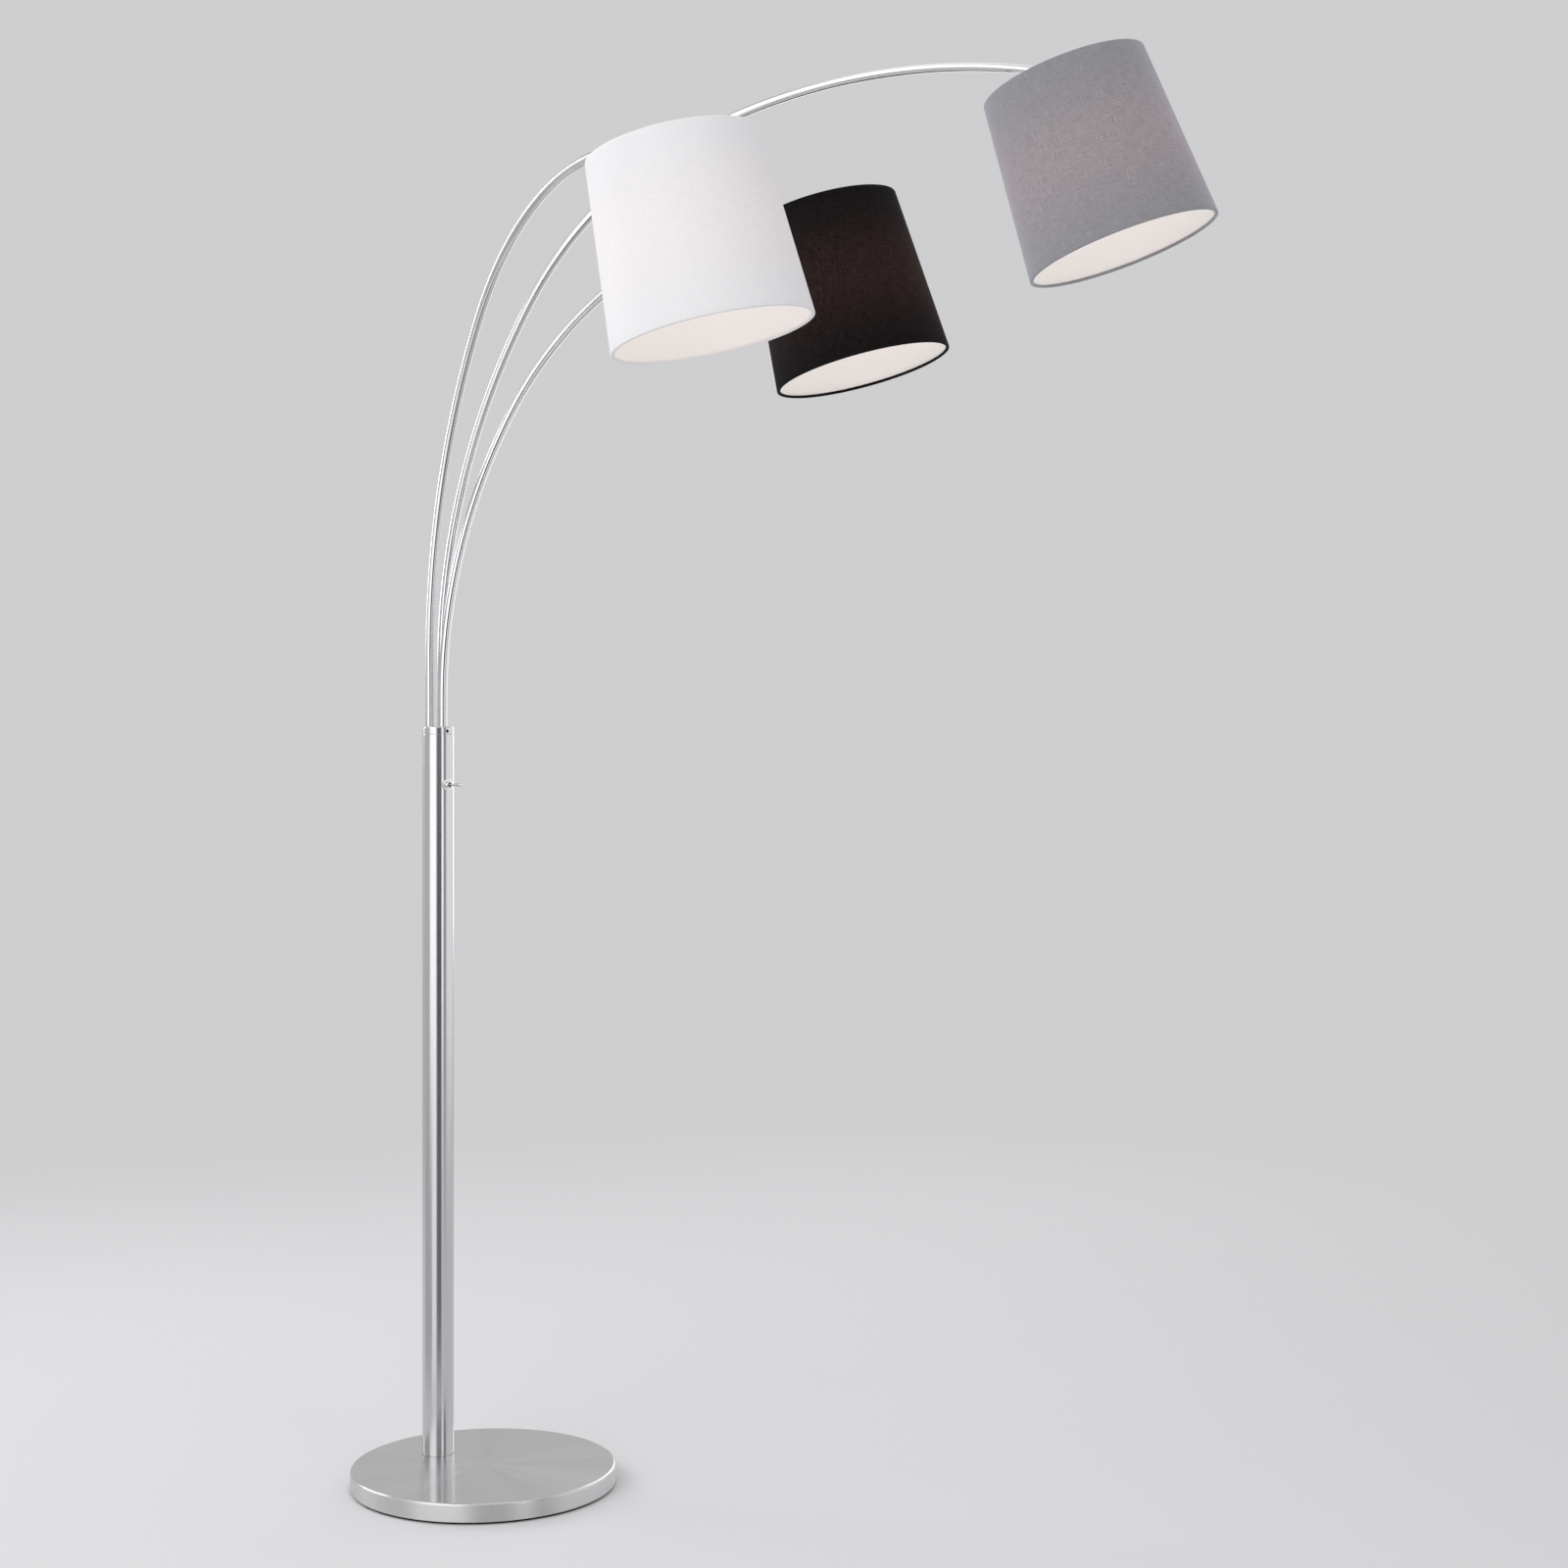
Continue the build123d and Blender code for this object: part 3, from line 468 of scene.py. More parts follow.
base_radius, base_top = 0.165, 0.025
cover_skin = 0.0015
base_steel = turned_steel("base_circular_brushed_steel", 0.0, (0.62, 0.62, 0.62), 2600.0, 2.2, 0.16, 0.9,
                          rim=base_radius - cover_skin, side_rough=0.30)
cover_outline = rounded([
    (0.0, base_top - cover_skin, 0),
    (base_radius - cover_skin, base_top - cover_skin, 0),
    (base_radius - cover_skin, pad_thickness, 0),
    (base_radius, pad_thickness, 0.0004),
    (base_radius, base_top, 0.0028),
    (0.0, base_top, 0),
])
finished("base_steel_cover", turned(cover_outline, 256), base_steel, "stand", "base_cover")


# Cord inlet: a soft black rubber spool pressed into a hole in the cover's side at the back.
# Its neck sits in the steel, and its flange covers the hole's edge.
z_to_x = Matrix.Rotation(radians(90), 4, "Y")
rubber_finish, net, place = start_finish("black_rubber")
bloom = net.noise(place, 400.0, 3.0)
end_finish(net, {
    "Base Color": net.mix(bloom, (0.010, 0.010, 0.011), (0.022, 0.022, 0.023)),
    "Roughness": bloom * 0.2 + 0.55,
    "Normal": net.bump(bloom, 0.2, 0.0003),
})
inlet_outline = rounded([
    (0.0031, 0.0, 0.0004),
    (0.0055, 0.0, 0.0007),
    (0.0055, 0.0016, 0.0003),
    (0.0042, 0.0016, 0),
    (0.0042, 0.0047, 0),
    (0.0031, 0.0047, 0),
])
inlet_place = Matrix.Translation((-base_radius - 0.0016, 0.0, 0.009)) @ z_to_x
finished("cord_inlet", turned(inlet_outline, 48), rubber_finish, "stand",
         "cord_grommet", inlet_place)


# Column: one steel tube, ground on a belt so that the fine scratches run round it. They
# spread each reflection up and down and leave its sides sharp. Its foot has a fine step.
column_radius, column_bore = 0.020, 0.0185
column_top = 0.940
column_sides = 128
step_radius, step_top = 0.0191, 0.0263
column_rows = 12
tube_steel = turned_steel("column_ground_steel", column_x, (0.63, 0.63, 0.64), 2200.0, 5.0, 0.21, 0.6)
column_outline = rounded([
    (column_bore, base_top, 0),
    (step_radius, base_top, 0),
    (step_radius, step_top, 0),
    (column_radius, step_top, 0.0003),
    (column_radius, column_top, 0.0005),
    (column_bore, column_top, 0),
])
column_rings = []
for (r0, z0), (_, z1) in zip(column_outline, column_outline[1:] + column_outline[:1]):
    column_rings.append((r0, z0))
    if abs(z1 - z0) > 0.1:
        column_rings += [(r0, z0 + (z1 - z0) * k / column_rows) for k in range(1, column_rows)]
on_column = Matrix.Translation((column_x, 0.0, 0.0))
finished("column_steel_tube", turned(column_rings, column_sides), tube_steel, "stand",
         "column_tube", on_column)


# Cap: a turned plug in the top of the column. Its head is flush with the tube over a fine
# groove, and three bores hold the arms' feet.
cap_turn = -6.5
cap_top, plug_bottom = 0.950, 0.914
top_flat, plug_end, plug_radius = 0.0176, 0.01735, 0.01835
groove_radius, groove_top = 0.0193, 0.9405
foot_circle = 0.0105
bore_radius, bore_lead = 0.0057, 0.0003
cap_crease = 28.0
foot_angles = [radians(120 * k) for k in range(3)]
bores = [(foot_circle * cos(angle), foot_circle * sin(angle)) for angle in foot_angles]
cap_steel = turned_steel("cap_turned_steel", column_x, (0.64, 0.64, 0.65), 3000.0, 2.0, 0.24, 0.75)
cap = bmesh.new()
_, cap_high_holes = pierced_disc(cap, top_flat, cap_top, column_sides, bore_radius + bore_lead, bores)
_, cap_low_holes = pierced_disc(cap, plug_end, plug_bottom, column_sides, bore_radius, bores)
head_outline = rounded([
    (plug_end, plug_bottom, 0),
    (plug_radius, 0.915, 0),
    (plug_radius, column_top, 0),
    (groove_radius, column_top, 0),
    (groove_radius, groove_top, 0),
    (column_radius, groove_top, 0.0005),
    (column_radius, cap_top, 0.002),
    (top_flat, cap_top, 0),
])
turned(head_outline, column_sides, closed=False, mesh=cap)
for high, low, bore in zip(cap_high_holes, cap_low_holes, bores):
    lead = [cap.verts.new(point) for point in ring_points(bore_radius, cap_top - bore_lead, hole_sides, bore)]
    add_wall(cap, lead, high)
    add_wall(cap, low, lead)
on_cap = on_column @ Matrix.Rotation(radians(cap_turn), 4, "Z")
cap_piece = finished("column_cap_head", cap, cap_steel, "stand", "column_cap", on_cap, cap_crease)


# Set screws: three headless hex screws, one against each arm's foot. The one that faces
# the switch shows as a small dark dot in the cap.
def plain_mesh(piece):
    """The mesh that a piece's modifiers make of it. The modifiers are then removed."""
    bpy.context.view_layer.update()
    seen = piece.evaluated_get(bpy.context.evaluated_depsgraph_get())
    data = bpy.data.meshes.new_from_object(seen)
    piece.modifiers.clear()
    return data


def start_tree(name, inputs):
    """A new geometry tree, and its inputs from (name, kind) pairs."""
    tree = bpy.data.node_groups.new(name, "GeometryNodeTree")
    for label, kind in inputs:
        tree.interface.new_socket(label, in_out="INPUT", socket_type="NodeSocket" + kind)
    tree.interface.new_socket("Result", in_out="OUTPUT", socket_type="NodeSocketGeometry")
    net = Net(tree)
    given = net.node("NodeGroupInput").socket.node
    return net, [Net(tree, given.outputs[k]) for k in range(len(inputs))]


def end_tree(net, shape, finish):
    """Makes a tree's shape real and gives it its material."""
    real = net.node("GeometryNodeRealizeInstances", {}, {0: shape})
    done = net.node("GeometryNodeSetMaterial", {}, {"Geometry": real, "Material": finish})
    net.node("NodeGroupOutput", {}, {0: done})
    return net.tree


def grown(data, tree, values):
    """The plain mesh that a node tree makes from a mesh or a curve."""
    carrier = bpy.data.objects.new(data.name, data)
    scene.collection.objects.link(carrier)
    modifier = carrier.modifiers.new("tree", "NODES")
    modifier.node_group = tree
    for item in tree.interface.items_tree:
        if item.name in values:
            modifier[item.identifier] = values[item.name]
    result = plain_mesh(carrier)
    bpy.data.objects.remove(carrier)
    return result


def repeat_round_tree():
    """Node tree that repeats a mesh about Z: its count and its first angle are inputs."""
    net, (piece, count, first, finish) = start_tree("repeat_round", (
        ("Piece", "Geometry"), ("Count", "Int"), ("First angle", "Float"), ("Finish", "Material"),
    ))
    points = net.node("GeometryNodePoints", {}, {"Count": count})
    angle = net.node("GeometryNodeInputIndex") / count * (2 * pi) + first
    copies = net.node(
        "GeometryNodeInstanceOnPoints", {},
        {"Points": points, "Instance": piece, "Rotation": net.join(0.0, 0.0, angle)},
    )
    return end_tree(net, copies, finish)


def repeated_round(mesh, count, first_angle, material):
    """A mesh of the given bmesh repeated about its Z axis by the node tree."""
    bmesh.ops.recalc_face_normals(mesh, faces=mesh.faces)
    data = bpy.data.meshes.new("one")
    mesh.to_mesh(data)
    mesh.free()
    tree = bpy.data.node_groups.get("repeat_round") or repeat_round_tree()
    return grown(data, tree, {"Count": count, "First angle": first_angle, "Finish": material})


def hex_points(across, height):
    return ring_points(across / 2 / cos(pi / 6), height, 6)


def thread_outline(start, pitch, count, ridge):
    """One ridge of (radius, distance) points, repeated along the axis."""
    return [(radius, start + k * pitch + distance) for k in range(count) for radius, distance in ridge]


def socket_screw(radius, length, across, depth):
    """A headless screw along Z: thread ridges, and a hex socket in its outer end."""
    pitch, ridge_height, sides = 0.0007, 0.0002, 32
    end_radius = radius - 0.0003
    ridges = thread_outline(0.0, pitch, int(length / pitch), [
        (radius, 0.0), (radius, 0.3 * pitch), (radius - ridge_height, 0.65 * pitch),
    ])
    body = turned([(0.0, 0.0), *ridges, (end_radius, length)], sides, closed=False)
    mouth, edges = add_loop(body, hex_points(across, length))
    _, rim_edges = add_loop(body, ring_points(end_radius, length, sides))
    bmesh.ops.triangle_fill(body, use_beauty=True, edges=edges + rim_edges)
    floor_verts = [body.verts.new(point) for point in hex_points(across, length - depth)]
    add_wall(body, floor_verts, mouth)
    body.faces.new(floor_verts)
    bmesh.ops.remove_doubles(body, verts=body.verts, dist=weld_distance)
    return body


black_steel, net, place = start_finish("blackened_steel")
oil = net.noise(place, 900.0, 2.0)
end_finish(net, {
    "Base Color": net.mix(oil, (0.03, 0.03, 0.032), (0.07, 0.07, 0.075)),
    "Metallic": 1.0,
    "Roughness": oil * 0.15 + 0.3,
})
screw_height = 0.9442
screw_radius, screw_slack = 0.002, 0.00005
hole_start, hole_depth = 0.0165, 0.010
cutter_mesh = bmesh.new()
for angle in foot_angles:
    from_axis = Matrix.Translation((hole_start, 0.0, screw_height)) @ z_to_x
    hole_place = Matrix.Rotation(angle, 4, "Z") @ from_axis @ Matrix.Translation((0.0, 0.0, hole_depth / 2))
    bmesh.ops.create_cone(
        cutter_mesh, cap_ends=True, segments=40, radius1=screw_radius + screw_slack,
        radius2=screw_radius + screw_slack, depth=hole_depth, matrix=hole_place,
    )
cutter_mesh.transform(on_cap)
cutter_data = bpy.data.meshes.new("screw_holes")
cutter_mesh.to_mesh(cutter_data)
cutter_mesh.free()
cutter = bpy.data.objects.new("screw_holes", cutter_data)
scene.collection.objects.link(cutter)
drill = cap_piece.modifiers.new("drill", "BOOLEAN")
drill.object = cutter
drill.solver = "EXACT"
undrilled = cap_piece.data
cap_piece.data = plain_mesh(cap_piece)
cap_piece.data.set_sharp_from_angle(angle=radians(cap_crease))
bpy.data.meshes.remove(undrilled)
bpy.data.objects.remove(cutter)

screw_tip, screw_length, hex_across, hex_depth = 0.0163, 0.0032, 0.002, 0.0015
screw = socket_screw(screw_radius, screw_length, hex_across, hex_depth)
screw.transform(Matrix.Translation((screw_tip, 0.0, screw_height)) @ z_to_x)
screws = repeated_round(screw, 3, 0.0, black_steel)
screws.transform(on_cap)
placed("cap_set_screws", screws, black_steel, "stand", "set_screws")


# Toggle switch: the threaded bushing of a switch inside the tube comes out through its
# wall, and a round nut clamps it. The lever is a tapered nickel stem with a ball in it.
def joined(*parts):
    """One bmesh from several bmeshes or meshes."""
    whole = bmesh.new()
    for part in parts:
        if isinstance(part, bmesh.types.BMesh):
            data = bpy.data.meshes.new("part")
            part.to_mesh(data)
            part.free()
            part = data
        whole.from_mesh(part)
        bpy.data.meshes.remove(part)
    return whole


def arc(radius, level, angles, centre=0.0):
    """The points of an outline on an arc, at angles in degrees."""
    return [(centre + radius * cos(radians(a)), level + radius * sin(radians(a))) for a in angles]


switch_height = 0.876
switch_turn = Matrix.Rotation(radians(cap_turn), 4, "Z") @ z_to_x
at_switch = Matrix.Translation((column_x, 0.0, switch_height)) @ switch_turn
nickel, net, place = start_finish("bright_nickel")
handling = net.noise(place, 250.0, 3.0)
end_finish(net, {
    "Base Color": (0.78, 0.77, 0.75),
    "Metallic": 1.0,
    "Roughness": handling * 0.16 + 0.08,
})
nut_outline = rounded([
    (0.0046, 0.02, 0),
    (0.0075, 0.02, 0.0002),
    (0.0075, 0.02205, 0.0006),
    (0.0052, 0.02205, 0.0002),
    (0.0046, 0.0216, 0),
])
bushing_ridge = [(0.0043, 0.0), (0.0045, 0.0002), (0.0045, 0.0003), (0.0043, 0.0005)]
bushing_outline = [
    (0.0032, 0.0172), (0.0042, 0.0172),
    *thread_outline(0.0174, 0.00066, 11, bushing_ridge),
    (0.0043, 0.0248), (0.0041, 0.025), (0.0034, 0.025), (0.0032, 0.0248),
]
finished("switch_nut_and_bushing", joined(turned(nut_outline, 72), turned(bushing_outline, 72)),
         nickel, "stand", "switch_nut", at_switch)

ball_radius, tip_radius = 0.00315, 0.002
ball_centre, tip_centre = 0.021, 0.0215
lever_outline = [
    (0.0, -ball_radius),
    *arc(ball_radius, 0.0, range(-75, 60, 15)),
    (0.0014, 0.0031), (0.00155, 0.008), (0.0018, 0.014), (0.002, 0.0195), (tip_radius, tip_centre),
    *arc(tip_radius, tip_centre, range(15, 90, 15)),
    (0.0, tip_centre + tip_radius),
]
lever_throw = -12.0
lever_place = Matrix.Translation((0.0, 0.0, ball_centre)) @ Matrix.Rotation(radians(lever_throw), 4, "X")
finished("switch_lever_stem", turned(lever_outline, 40), nickel, "lever",
         "switch_lever", at_switch @ lever_place)

switch_plastic, net, place = start_finish("switch_body_plastic")
speckle = net.noise(place, 800.0, 2.0)
end_finish(net, {
    "Base Color": net.mix(speckle, (0.012, 0.012, 0.013), (0.03, 0.03, 0.032)),
    "Roughness": 0.5,
    "Normal": net.bump(speckle, 0.15, 0.0002),
})
case_size = Matrix.Diagonal((0.021, 0.013, 0.020, 1.0))
case = bmesh.new()
bmesh.ops.create_cube(case, size=1.0, matrix=Matrix.Translation((0.0, 0.0, 0.0055)) @ case_size)
bmesh.ops.bevel(case, geom=case.edges[:], offset=0.0006, segments=2, affect="EDGES", profile=0.5)
shoulder = turned(rounded([(0.0, 0.0154, 0), (0.007, 0.0154, 0), (0.007, 0.017, 0.0003), (0.0, 0.017, 0)]), 64)
finished("switch_case", joined(case, shoulder), switch_plastic, "stand",
         "switch_body", at_switch)


# Arms: three steel tubes, each bent in three steps in one upright plane and then polished.
# Each foot stands in a bore of the cap, and each end carries a hinge.
arm_radius = 0.0055
foot_height = 0.9143
straight_end = 0.011
# Swing: the azimuth of the arm's plane. Rise: its straight part above the cap. Bends: radius
# and degrees, from the foot up. Tilt and heading: how far the head leans, and which way.
lamps = {
    "black": {
        "bore": bores[0], "swing": 43.8, "rise": 0.0374,
        "bends": [(0.806, 27.2), (0.504, 37.7), (0.3606, 21.6)], "tilt": 14.7, "heading": 28.0,
    },
    "grey": {
        "bore": bores[1], "swing": 18.0, "rise": 0.0760,
        "bends": [(0.891, 30.5), (0.458, 37.1), (0.7525, 34.6)], "tilt": 19.1, "heading": 32.5,
    },
    "white": {
        "bore": bores[2], "swing": -14.3, "rise": 0.0872,
        "bends": [(0.736, 34.7), (0.333, 50.2), (0.5127, 17.2)], "tilt": 12.3, "heading": 32.5,
    },
}
arm_steel, net, place = start_finish("arm_polished_steel")
draw_lines = net.noise(place, 45.0, 3.0)
polish = net.noise(place, 900.0, 2.0)
end_finish(net, {
    "Base Color": net.mix(polish, (0.62, 0.62, 0.63), (0.70, 0.70, 0.71)),
    "Metallic": 1.0,
    "Roughness": draw_lines * 0.03 + polish * 0.02 + 0.155,
})


def bent_tube_tree():
    """Node tree that runs a round tube along a curve: its radius and its sides are inputs."""
    net, (path, radius, sides, finish) = start_tree("bent_tube", (
        ("Path", "Geometry"), ("Tube radius", "Float"), ("Sides", "Int"), ("Finish", "Material"),
    ))
    ring = net.node("GeometryNodeCurvePrimitiveCircle", {}, {"Resolution": sides, "Radius": radius})
    tube = net.node("GeometryNodeCurveToMesh", {}, {"Curve": path, "Profile Curve": ring, "Fill Caps": True})
    return end_tree(net, tube, finish)


def tube_along(points, radius, sides, material):
    """A mesh tube along the points, made by the node tree."""
    curve = bpy.data.curves.new("path", "CURVE")
    curve.dimensions = "3D"
    line = curve.splines.new("POLY")
    line.points.add(len(points) - 1)
    for point, place in zip(line.points, points):
        point.co = (*place, 1.0)
    tree = bpy.data.node_groups.get("bent_tube") or bent_tube_tree()
    return grown(curve, tree, {"Tube radius": radius, "Sides": sides, "Finish": material})


def heading(angle, lift=0.0):
    """Direction at an angle from +X, raised by another angle."""
    level = cos(radians(lift))
    return Vector((level * cos(radians(angle)), level * sin(radians(angle)), sin(radians(lift))))


up = Vector((0.0, 0.0, 1.0))
degrees_per_step = 0.5
for lamp, arm in lamps.items():
    foot = on_cap @ Vector((*arm["bore"], foot_height))
    out = heading(arm["swing"])
    here = Vector((foot.x, foot.y, cap_top + arm["rise"]))
    points = [foot, foot + up * 0.02, foot.lerp(here, 0.5), foot.lerp(here, 0.8), here]
    lift = 90.0
    for radius, turn in arm["bends"]:
        steps = int(turn / degrees_per_step)
        centre = here + out * radius * sin(radians(lift)) - up * radius * cos(radians(lift))
        for step in range(1, steps + 1):
            angle = radians(lift - turn * step / steps)
            points.append(centre - out * radius * sin(angle) + up * radius * cos(angle))
        lift -= turn
        here = points[-1]
    arm["end"] = heading(arm["swing"], lift)
    points.append(here + arm["end"] * straight_end)
    tube = tube_along(points, arm_radius, 40, arm_steel)
    placed(f"{lamp}_arm_steel_tube", tube, arm_steel, f"{lamp}_arm", f"{lamp}_arm_tube")

brass, net, place = start_finish("turned_brass")
rings = net.noise(place, 1200.0, 2.0)
end_finish(net, {
    "Base Color": net.mix(rings, (0.55, 0.40, 0.16), (0.68, 0.52, 0.24)),
    "Metallic": 1.0,
    "Roughness": rings * 0.15 + 0.22,
})
cad_finish(brass, "black_arm_collar", "grey_arm_collar", "white_arm_collar")


# Hinge at each arm's end: a fork plugged into the tube, with two cheeks round the tongue of
# the head. A screw with a nut pinches them, so that the shade stays where it's put.
hinge_steel, net, place = start_finish("hinge_satin_steel")
tool_marks = net.noise(place, 1100.0, 3.0)
end_finish(net, {
    "Base Color": net.mix(tool_marks, (0.56, 0.56, 0.57), (0.66, 0.66, 0.67)),
    "Metallic": 1.0,
    "Roughness": tool_marks * 0.14 + 0.2,
    "Normal": net.bump(tool_marks, 0.06, 0.0001),
})
hinge_radius, eye_radius = 0.006, 0.0058
cheek_inside, cheek_outside, cheek_length = 0.0022, 0.0056, 0.0085
tongue_half, tongue_length = 0.002, 0.0092
nut_across, nut_face = 0.007, 0.0086


def softened(mesh):
    """Bevels the sharp edges of a mesh."""
    bmesh.ops.recalc_face_normals(mesh, faces=mesh.faces)
    sharp = [edge for edge in mesh.edges if len(edge.link_faces) == 2 and edge.calc_face_angle() > radians(40)]
    bmesh.ops.bevel(mesh, geom=sharp, offset=0.0004, segments=2, affect="EDGES", profile=0.5)
    return mesh


def prism(low, high):
    """A solid between two outlines of the same count."""
    mesh = bmesh.new()
    ends = [[mesh.verts.new(point) for point in outline] for outline in (low, high)]
    for end in ends:
        mesh.faces.new(end)
    add_wall(mesh, *ends)
    return softened(mesh)


def plate_with_eye(length, low, high):
    """A flat cheek from (0, -length) to a round end at the origin, in Y and Z, thick along X."""
    outline = [(-eye_radius, -length), (eye_radius, -length), *arc(eye_radius, 0.0, range(0, 181, 10))]
    return prism([(low, y, z) for y, z in outline], [(high, y, z) for y, z in outline])


def frame_at(origin, x, z):
    """A matrix with its X and Z along the given directions."""
    y = z.cross(x)
    return Matrix((
        (x.x, y.x, z.x, origin.x), (x.y, y.y, z.y, origin.y), (x.z, y.z, z.z, origin.z), (0.0, 0.0, 0.0, 1.0),
    ))


def on_head(lamp, name, mesh, material, node, crease=35.0):
    """A piece of one lamp's head, in the frame of its hinge."""
    return finished(f"{lamp}_{name}", mesh, material, f"{lamp}_head", f"{lamp}_{node}",
                    lamps[lamp]["head"], crease)


hub_outline = rounded([
    (0.0, -0.0175, 0), (hinge_radius, -0.0175, 0.0004), (hinge_radius, -0.0070, 0.0004), (0.0, -0.0070, 0),
])
spigot_outline = [(0.0, -0.0272), (0.0044, -0.0272), (0.0044, -0.017), (0.0, -0.017)]
screw_head_outline = rounded([
    (0.0, cheek_outside, 0), (0.0035, cheek_outside, 0.0002), (0.0035, 0.0078, 0.0009), (0.0, 0.0078, 0),
])
shank_outline = [(0.0, -nut_face), (0.0017, -nut_face), (0.002, -0.0083), (0.002, 0.006), (0.0, 0.006)]
tongue_hub_outline = rounded([
    (0.0, 0.009, 0), (hinge_radius, 0.009, 0.0006), (hinge_radius, 0.015, 0.0004), (0.004, 0.015, 0),
    (0.004, 0.020, 0), (0.0, 0.020, 0),
])
for lamp, arm in lamps.items():
    joint = next(joint for joint in frame["joints"] if joint["name"] == f"{lamp}_tilt")
    pivot = Vector(joint["pos_m"])
    across = Vector(joint["axis"]).normalized()
    down = -heading(arm["heading"], 90.0 - arm["tilt"])
    down.x, down.y = -down.x, -down.y
    arm["head"] = frame_at(pivot, across, down)
    at_fork = frame_at(pivot, across, arm["end"])
    fork = joined(
        turned(hub_outline, 48), turned(spigot_outline, 32),
        plate_with_eye(cheek_length, cheek_inside, cheek_outside),
        plate_with_eye(cheek_length, -cheek_outside, -cheek_inside),
    )
    finished(f"{lamp}_hinge_fork", fork, hinge_steel, f"{lamp}_arm",
             f"{lamp}_knuckle_fork", at_fork)

    nut = prism(hex_points(nut_across, -nut_face), hex_points(nut_across, -cheek_outside))
    hinge_screw = joined(turned(screw_head_outline, 40), turned(shank_outline, 32), nut)
    finished(f"{lamp}_hinge_screw", hinge_screw, zinc_finish, f"{lamp}_arm",
             f"{lamp}_knuckle_screw", at_fork @ z_to_x)

    tongue_plate = plate_with_eye(tongue_length, -tongue_half, tongue_half)
    tongue_plate.transform(Matrix.Rotation(radians(180), 4, "X"))
    tongue = joined(tongue_plate, turned(tongue_hub_outline, 48))
    on_head(lamp, "hinge_tongue", tongue, hinge_steel, "knuckle_tongue")


# Lampholders: a pressed steel cap in white enamel on the tongue, and below it a white
# moulded holder with a coarse outside thread for the ring that clamps the shade.
enamel, net, place = start_finish("white_enamel")
peel = net.noise(place, 600.0, 2.0)
end_finish(net, {
    "Base Color": (0.80, 0.80, 0.79),
    "Roughness": peel * 0.1 + 0.25,
    "Coat Weight": 0.3,
    "Normal": net.bump(peel, 0.05, 0.0002),
})
holder_plastic, net, place = start_finish("white_moulded_plastic")
mould = net.noise(place, 1400.0, 2.0)
end_finish(net, {
    "Base Color": net.mix(mould, (0.80, 0.79, 0.76), (0.86, 0.85, 0.82)),
    "Roughness": mould * 0.12 + 0.38,
    "Normal": net.bump(mould, 0.08, 0.0001),
})
cap_outline = rounded([
    (0.00405, 0.015, 0), (0.0075, 0.015, 0.0004), (0.016, 0.0225, 0.004), (0.016, 0.027, 0.0003),
    (0.0145, 0.027, 0.0003), (0.0145, 0.0232, 0.003), (0.0072, 0.0166, 0), (0.00405, 0.0166, 0),
])
holder_ridge = [(0.01345, 0.0), (0.014, 0.0006), (0.014, 0.0010), (0.01345, 0.0016)]
holder_outline = [
    *rounded([
        (0.0, 0.0225, 0), (0.0139, 0.0225, 0.0004), (0.0139, 0.0272, 0), (0.016, 0.0272, 0.0004),
        (0.016, 0.029, 0.0004), (0.0138, 0.029, 0),
    ]),
    *thread_outline(0.0325, 0.002, 15, holder_ridge),
    *rounded([
        (0.0137, 0.066, 0.0005), (0.0124, 0.066, 0.0004), (0.0124, 0.060, 0.0006),
        (0.0072, 0.060, 0), (0.0072, 0.035, 0), (0.0, 0.035, 0),
    ]),
]
ring_outline = rounded([
    (0.01405, 0.0306, 0), (0.019, 0.0306, 0.0004), (0.019, 0.0321, 0.0004), (0.0165, 0.0321, 0),
    (0.0165, 0.0366, 0.0006), (0.01405, 0.0366, 0.0003),
])
grip_radius, grip_count = 0.0011, 24
for lamp in lamps:
    on_head(lamp, "holder_enamel_cap", turned(cap_outline), enamel, "holder_cap")
    on_head(lamp, "holder_body", turned(holder_outline), holder_plastic, "lampholder", 45.0)
    grip = bmesh.new()
    bmesh.ops.create_cone(grip, cap_ends=True, segments=8, radius1=grip_radius, radius2=grip_radius,
                          depth=0.0040, matrix=Matrix.Translation((0.0164, 0.0, 0.0343)))
    clamp = joined(turned(ring_outline), repeated_round(grip, grip_count, 0.0, holder_plastic))
    on_head(lamp, "clamp_ring", clamp, holder_plastic, "shade_ring")
    cad_finish(zinc_finish, f"{lamp}_bulb_cap")


# Shade fitters: a ring under the holder's flange and three wires up to the shade's top rim,
# spot welded and painted white. A second rim wire stiffens the mouth.
shade_top, shade_mouth = 0.005, 0.217
top_radius, mouth_radius = 0.0975, 0.114
slope = (mouth_radius - top_radius) / (shade_mouth - shade_top)
rim_wire = 0.0012
rim_depth = 0.00265
top_level = shade_top + rim_wire
mouth_level = shade_mouth - rim_wire


def wall_radius(distance, depth=0.0):
    """Radius of the shade's wall at a distance below the hinge, some depth inside its face."""
    return top_radius + (distance - shade_top) * slope - depth


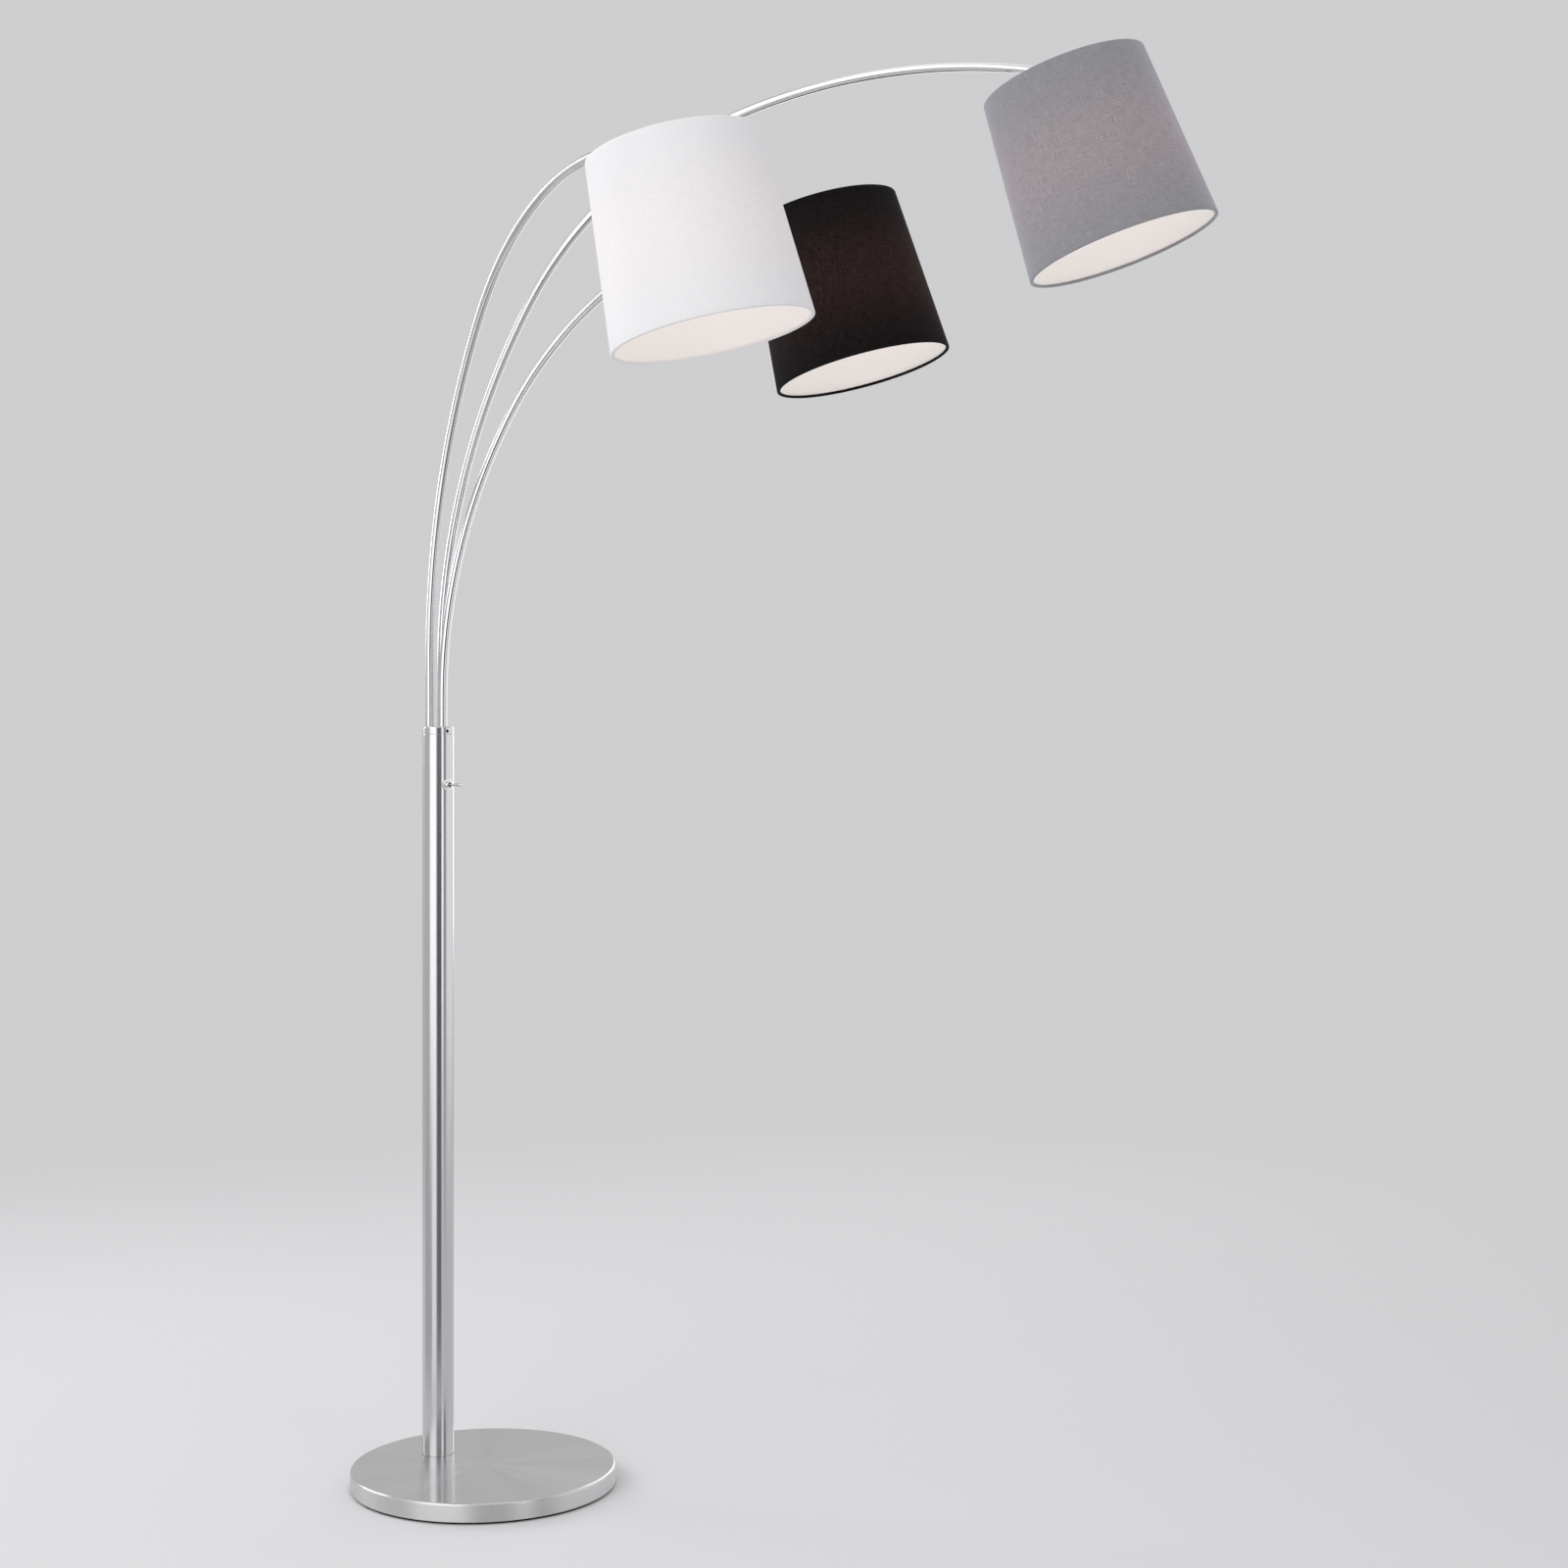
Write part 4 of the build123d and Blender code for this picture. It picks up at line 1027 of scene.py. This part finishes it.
spoke_wire, spoke_count, first_spoke = 0.0015, 3, 150.0
spoke_end = wall_radius(top_level, rim_depth)
spoke_line = [
    (0.0178, 0.0, 0.0291), (0.0215, 0.0, 0.0282), (0.06, 0.0, 0.0166),
    (spoke_end - 0.0045, 0.0, 0.0069), (spoke_end - 0.0013, 0.0, top_level + 0.0002),
]
fitter_ring_outline = rounded([
    (0.0143, 0.029, 0.0002), (0.0185, 0.029, 0.0004), (0.0185, 0.0306, 0.0004), (0.0143, 0.0306, 0.0002),
])
for lamp in lamps:
    spoke = joined(tube_along(spoke_line, spoke_wire, 14, enamel))
    spokes = repeated_round(spoke, spoke_count, radians(first_spoke), enamel)
    fitter = joined(turned(fitter_ring_outline), spokes)
    on_head(lamp, "shade_fitter_wires", fitter, enamel, "shade_fitter")
    for rim, level in (("top", top_level), ("mouth", mouth_level)):
        wire_outline = arc(rim_wire, level, range(0, 360, 30), wall_radius(level, rim_depth))
        on_head(lamp, f"{rim}_rim_wire", turned(wire_outline, 160), enamel, f"{rim}_rim", 60.0)


# Shades: fine woven cloth glued on a stiff white film, lapped on one seam at the back and
# turned in over the rim wires. The lit bulb's faint glow through the cloth is painted into it.
def woven_cloth(name, thread, gap, glow, slub, sheen):
    """Plain weave on the cloth's own UV map, with thick and thin threads, and the bulb's glow painted in as
    emission.
    """
    pitch = 0.00085
    glow_centre, glow_reach = 0.108, 0.068
    material, net, _ = start_finish(name)
    u, v, _ = net.node("ShaderNodeTexCoord", output=2).split()
    across, along = u / pitch, v / pitch
    turn = (across.math("FLOOR") + along.math("FLOOR")).math("MODULO", 2.0)
    warp = (across * pi).math("SINE").math("ABSOLUTE")
    weft = (along * pi).math("SINE").math("ABSOLUTE")
    crown = warp * turn + weft * (1.0 - turn)
    thick_warp = net.noise(net.join(u / 0.0012, v / 0.016), 1.0, 3.0, 0.65)
    thick_weft = net.noise(net.join(u / 0.018, v / 0.0012), 1.0, 3.0, 0.65)
    threads = thick_warp + thick_weft - 1.0
    weave = crown * 0.35 + threads * slub * 2.2 + 0.4
    # The bulb's glow through the cloth is painted in: a band of emission round the bulb's level, broken by the
    # threads.
    from_bulb = (v - glow_centre) / glow_reach
    lit = (from_bulb * from_bulb * -1.0).math("EXPONENT")
    painted_glow_weave = threads * 2.0 + crown * -0.25 + 0.85
    end_finish(net, {
        "Base Color": net.mix(weave, gap, thread),
        "Roughness": 0.85,
        "Specular IOR Level": 0.08,
        "Sheen Weight": sheen,
        "Sheen Roughness": 0.45,
        "Sheen Tint": (0.86, 0.88, 1.0, 1.0),
        "Emission Color": net.mix(lit * painted_glow_weave, (0.0, 0.0, 0.0), glow),
        "Emission Strength": 1.0,
        "Normal": net.bump(crown * 0.6 + threads * 0.6, 0.35, 0.00025),
    })
    return material


cloths = {
    "white": woven_cloth("white_linen", (0.89, 0.885, 0.89), (0.75, 0.745, 0.76), (0.066, 0.024, 0.018),
                         slub=0.22, sheen=0.1),
    "grey": woven_cloth("grey_linen", (0.335, 0.335, 0.35), (0.17, 0.17, 0.182), (0.092, 0.036, 0.036),
                        slub=0.45, sheen=0.55),
    "black": woven_cloth("black_linen", (0.0095, 0.0085, 0.009), (0.0, 0.0, 0.0), (0.026, 0.011, 0.010),
                         slub=0.8, sheen=0.006),
}
film_slant = 0.2124
film_glow_centre, film_glow_reach = 0.0935, 0.085
lining_film, net, place = start_finish("white_shade_film")
ripple = net.noise(place, 60.0, 2.0)
grain = net.noise(place, 1600.0, 2.0)
_, film_level, _ = net.node("ShaderNodeTexCoord", output=2).split()
# The bulb's light on the inside of the film is painted in as warm emission, brightest round the bulb's level.
from_top = (film_level + 0.0015).math("PINGPONG", film_slant)
from_bulb = (from_top - film_glow_centre) / film_glow_reach
painted_bulb_light = (from_bulb * from_bulb * -1.0).math("EXPONENT")
end_finish(net, {
    "Base Color": net.mix(grain, (0.87, 0.85, 0.83), (0.92, 0.90, 0.88)),
    "Roughness": ripple * 0.1 + 0.42,
    "Emission Color": net.mix(painted_bulb_light, (0.05, 0.044, 0.043), (0.21, 0.18, 0.165)),
    "Emission Strength": 1.0,
    "Normal": net.bump(ripple * 0.6 + grain * 0.2, 0.1, 0.0006),
})


def lap(angle):
    """The lapped seam: one more layer of cloth over 10 mm of the shade's round."""
    layer, seam_angle, seam_radius, half_lap, edge_width = 0.0004, 172.0, 0.105, 0.0055, 0.0008
    reach = abs((angle - radians(seam_angle)) * seam_radius)
    return layer * max(0.0, min(1.0, (half_lap - reach) / edge_width))


def along_wall(start, end, depth, steps):
    distances = [start + (end - start) * k / steps for k in range(steps + 1)]
    return [(wall_radius(distance, depth), distance) for distance in distances]


cloth_thickness = 0.0006
hem_roll = rim_wire + cloth_thickness
hem_end, hem_tuck = 0.0038, 0.0045
cloth_outline = [
    *along_wall(shade_top + 0.0012, shade_mouth - 0.0012, 0.0, 24),
    (wall_radius(shade_mouth, 0.0002), shade_mouth - 0.0003),
    *arc(hem_roll, mouth_level, range(55, 236, 20), wall_radius(mouth_level, rim_depth)),
    (wall_radius(shade_mouth - hem_tuck, cloth_thickness), shade_mouth - hem_end),
    *along_wall(shade_mouth - 0.008, shade_top + 0.008, cloth_thickness, 4),
    (wall_radius(shade_top + hem_tuck, cloth_thickness), shade_top + hem_end),
    *arc(hem_roll, top_level, range(125, 306, 20), wall_radius(top_level, rim_depth)),
    (wall_radius(shade_top, 0.0002), shade_top + 0.0003),
]
film_top, film_mouth = shade_top + 0.001, shade_mouth - 0.001
film_outline = along_wall(film_top, film_mouth, 0.0007, 12) + along_wall(film_mouth, film_top, 0.0013, 12)
for lamp in lamps:
    cover = on_head(lamp, "shade_cloth", turned(cloth_outline, 240, swell=lap), cloths[lamp],
                    "shade_fabric", 50.0)
    on_head(lamp, "shade_film", turned(film_outline, 240), lining_film, "shade_lining")


# Bulbs: small round frosted glass with a screw cap, switched on and dimmed low. The glass
# only glows; the light that it throws is painted into the film and the cloth round it.
frosted, net, place = start_finish("frosted_glass")
frost = net.noise(place, 300.0, 2.0)
end_finish(net, {
    "Base Color": (0.72, 0.71, 0.69),
    "Roughness": frost * 0.1 + 0.3,
    "Coat Weight": 0.4,
    "Emission Color": net.mix(frost, (1.0, 0.88, 0.76), (1.0, 0.92, 0.83)),
    "Emission Strength": 0.5,
})
globe_radius, globe_centre, neck_end = 0.0225, 0.0945, 0.0595
globe_outline = [
    (0.0, neck_end), (0.0088, neck_end), (0.0098, 0.0602),
    (0.0100, 0.064), (0.0104, 0.068), (0.0116, 0.0725),
    *arc(globe_radius, globe_centre, range(-56, 90, 6)),
    (0.0, globe_centre + globe_radius),
]
for lamp in lamps:
    on_head(lamp, "bulb_globe", turned(globe_outline, 80), frosted, "bulb_glass", 60.0)


low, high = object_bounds()
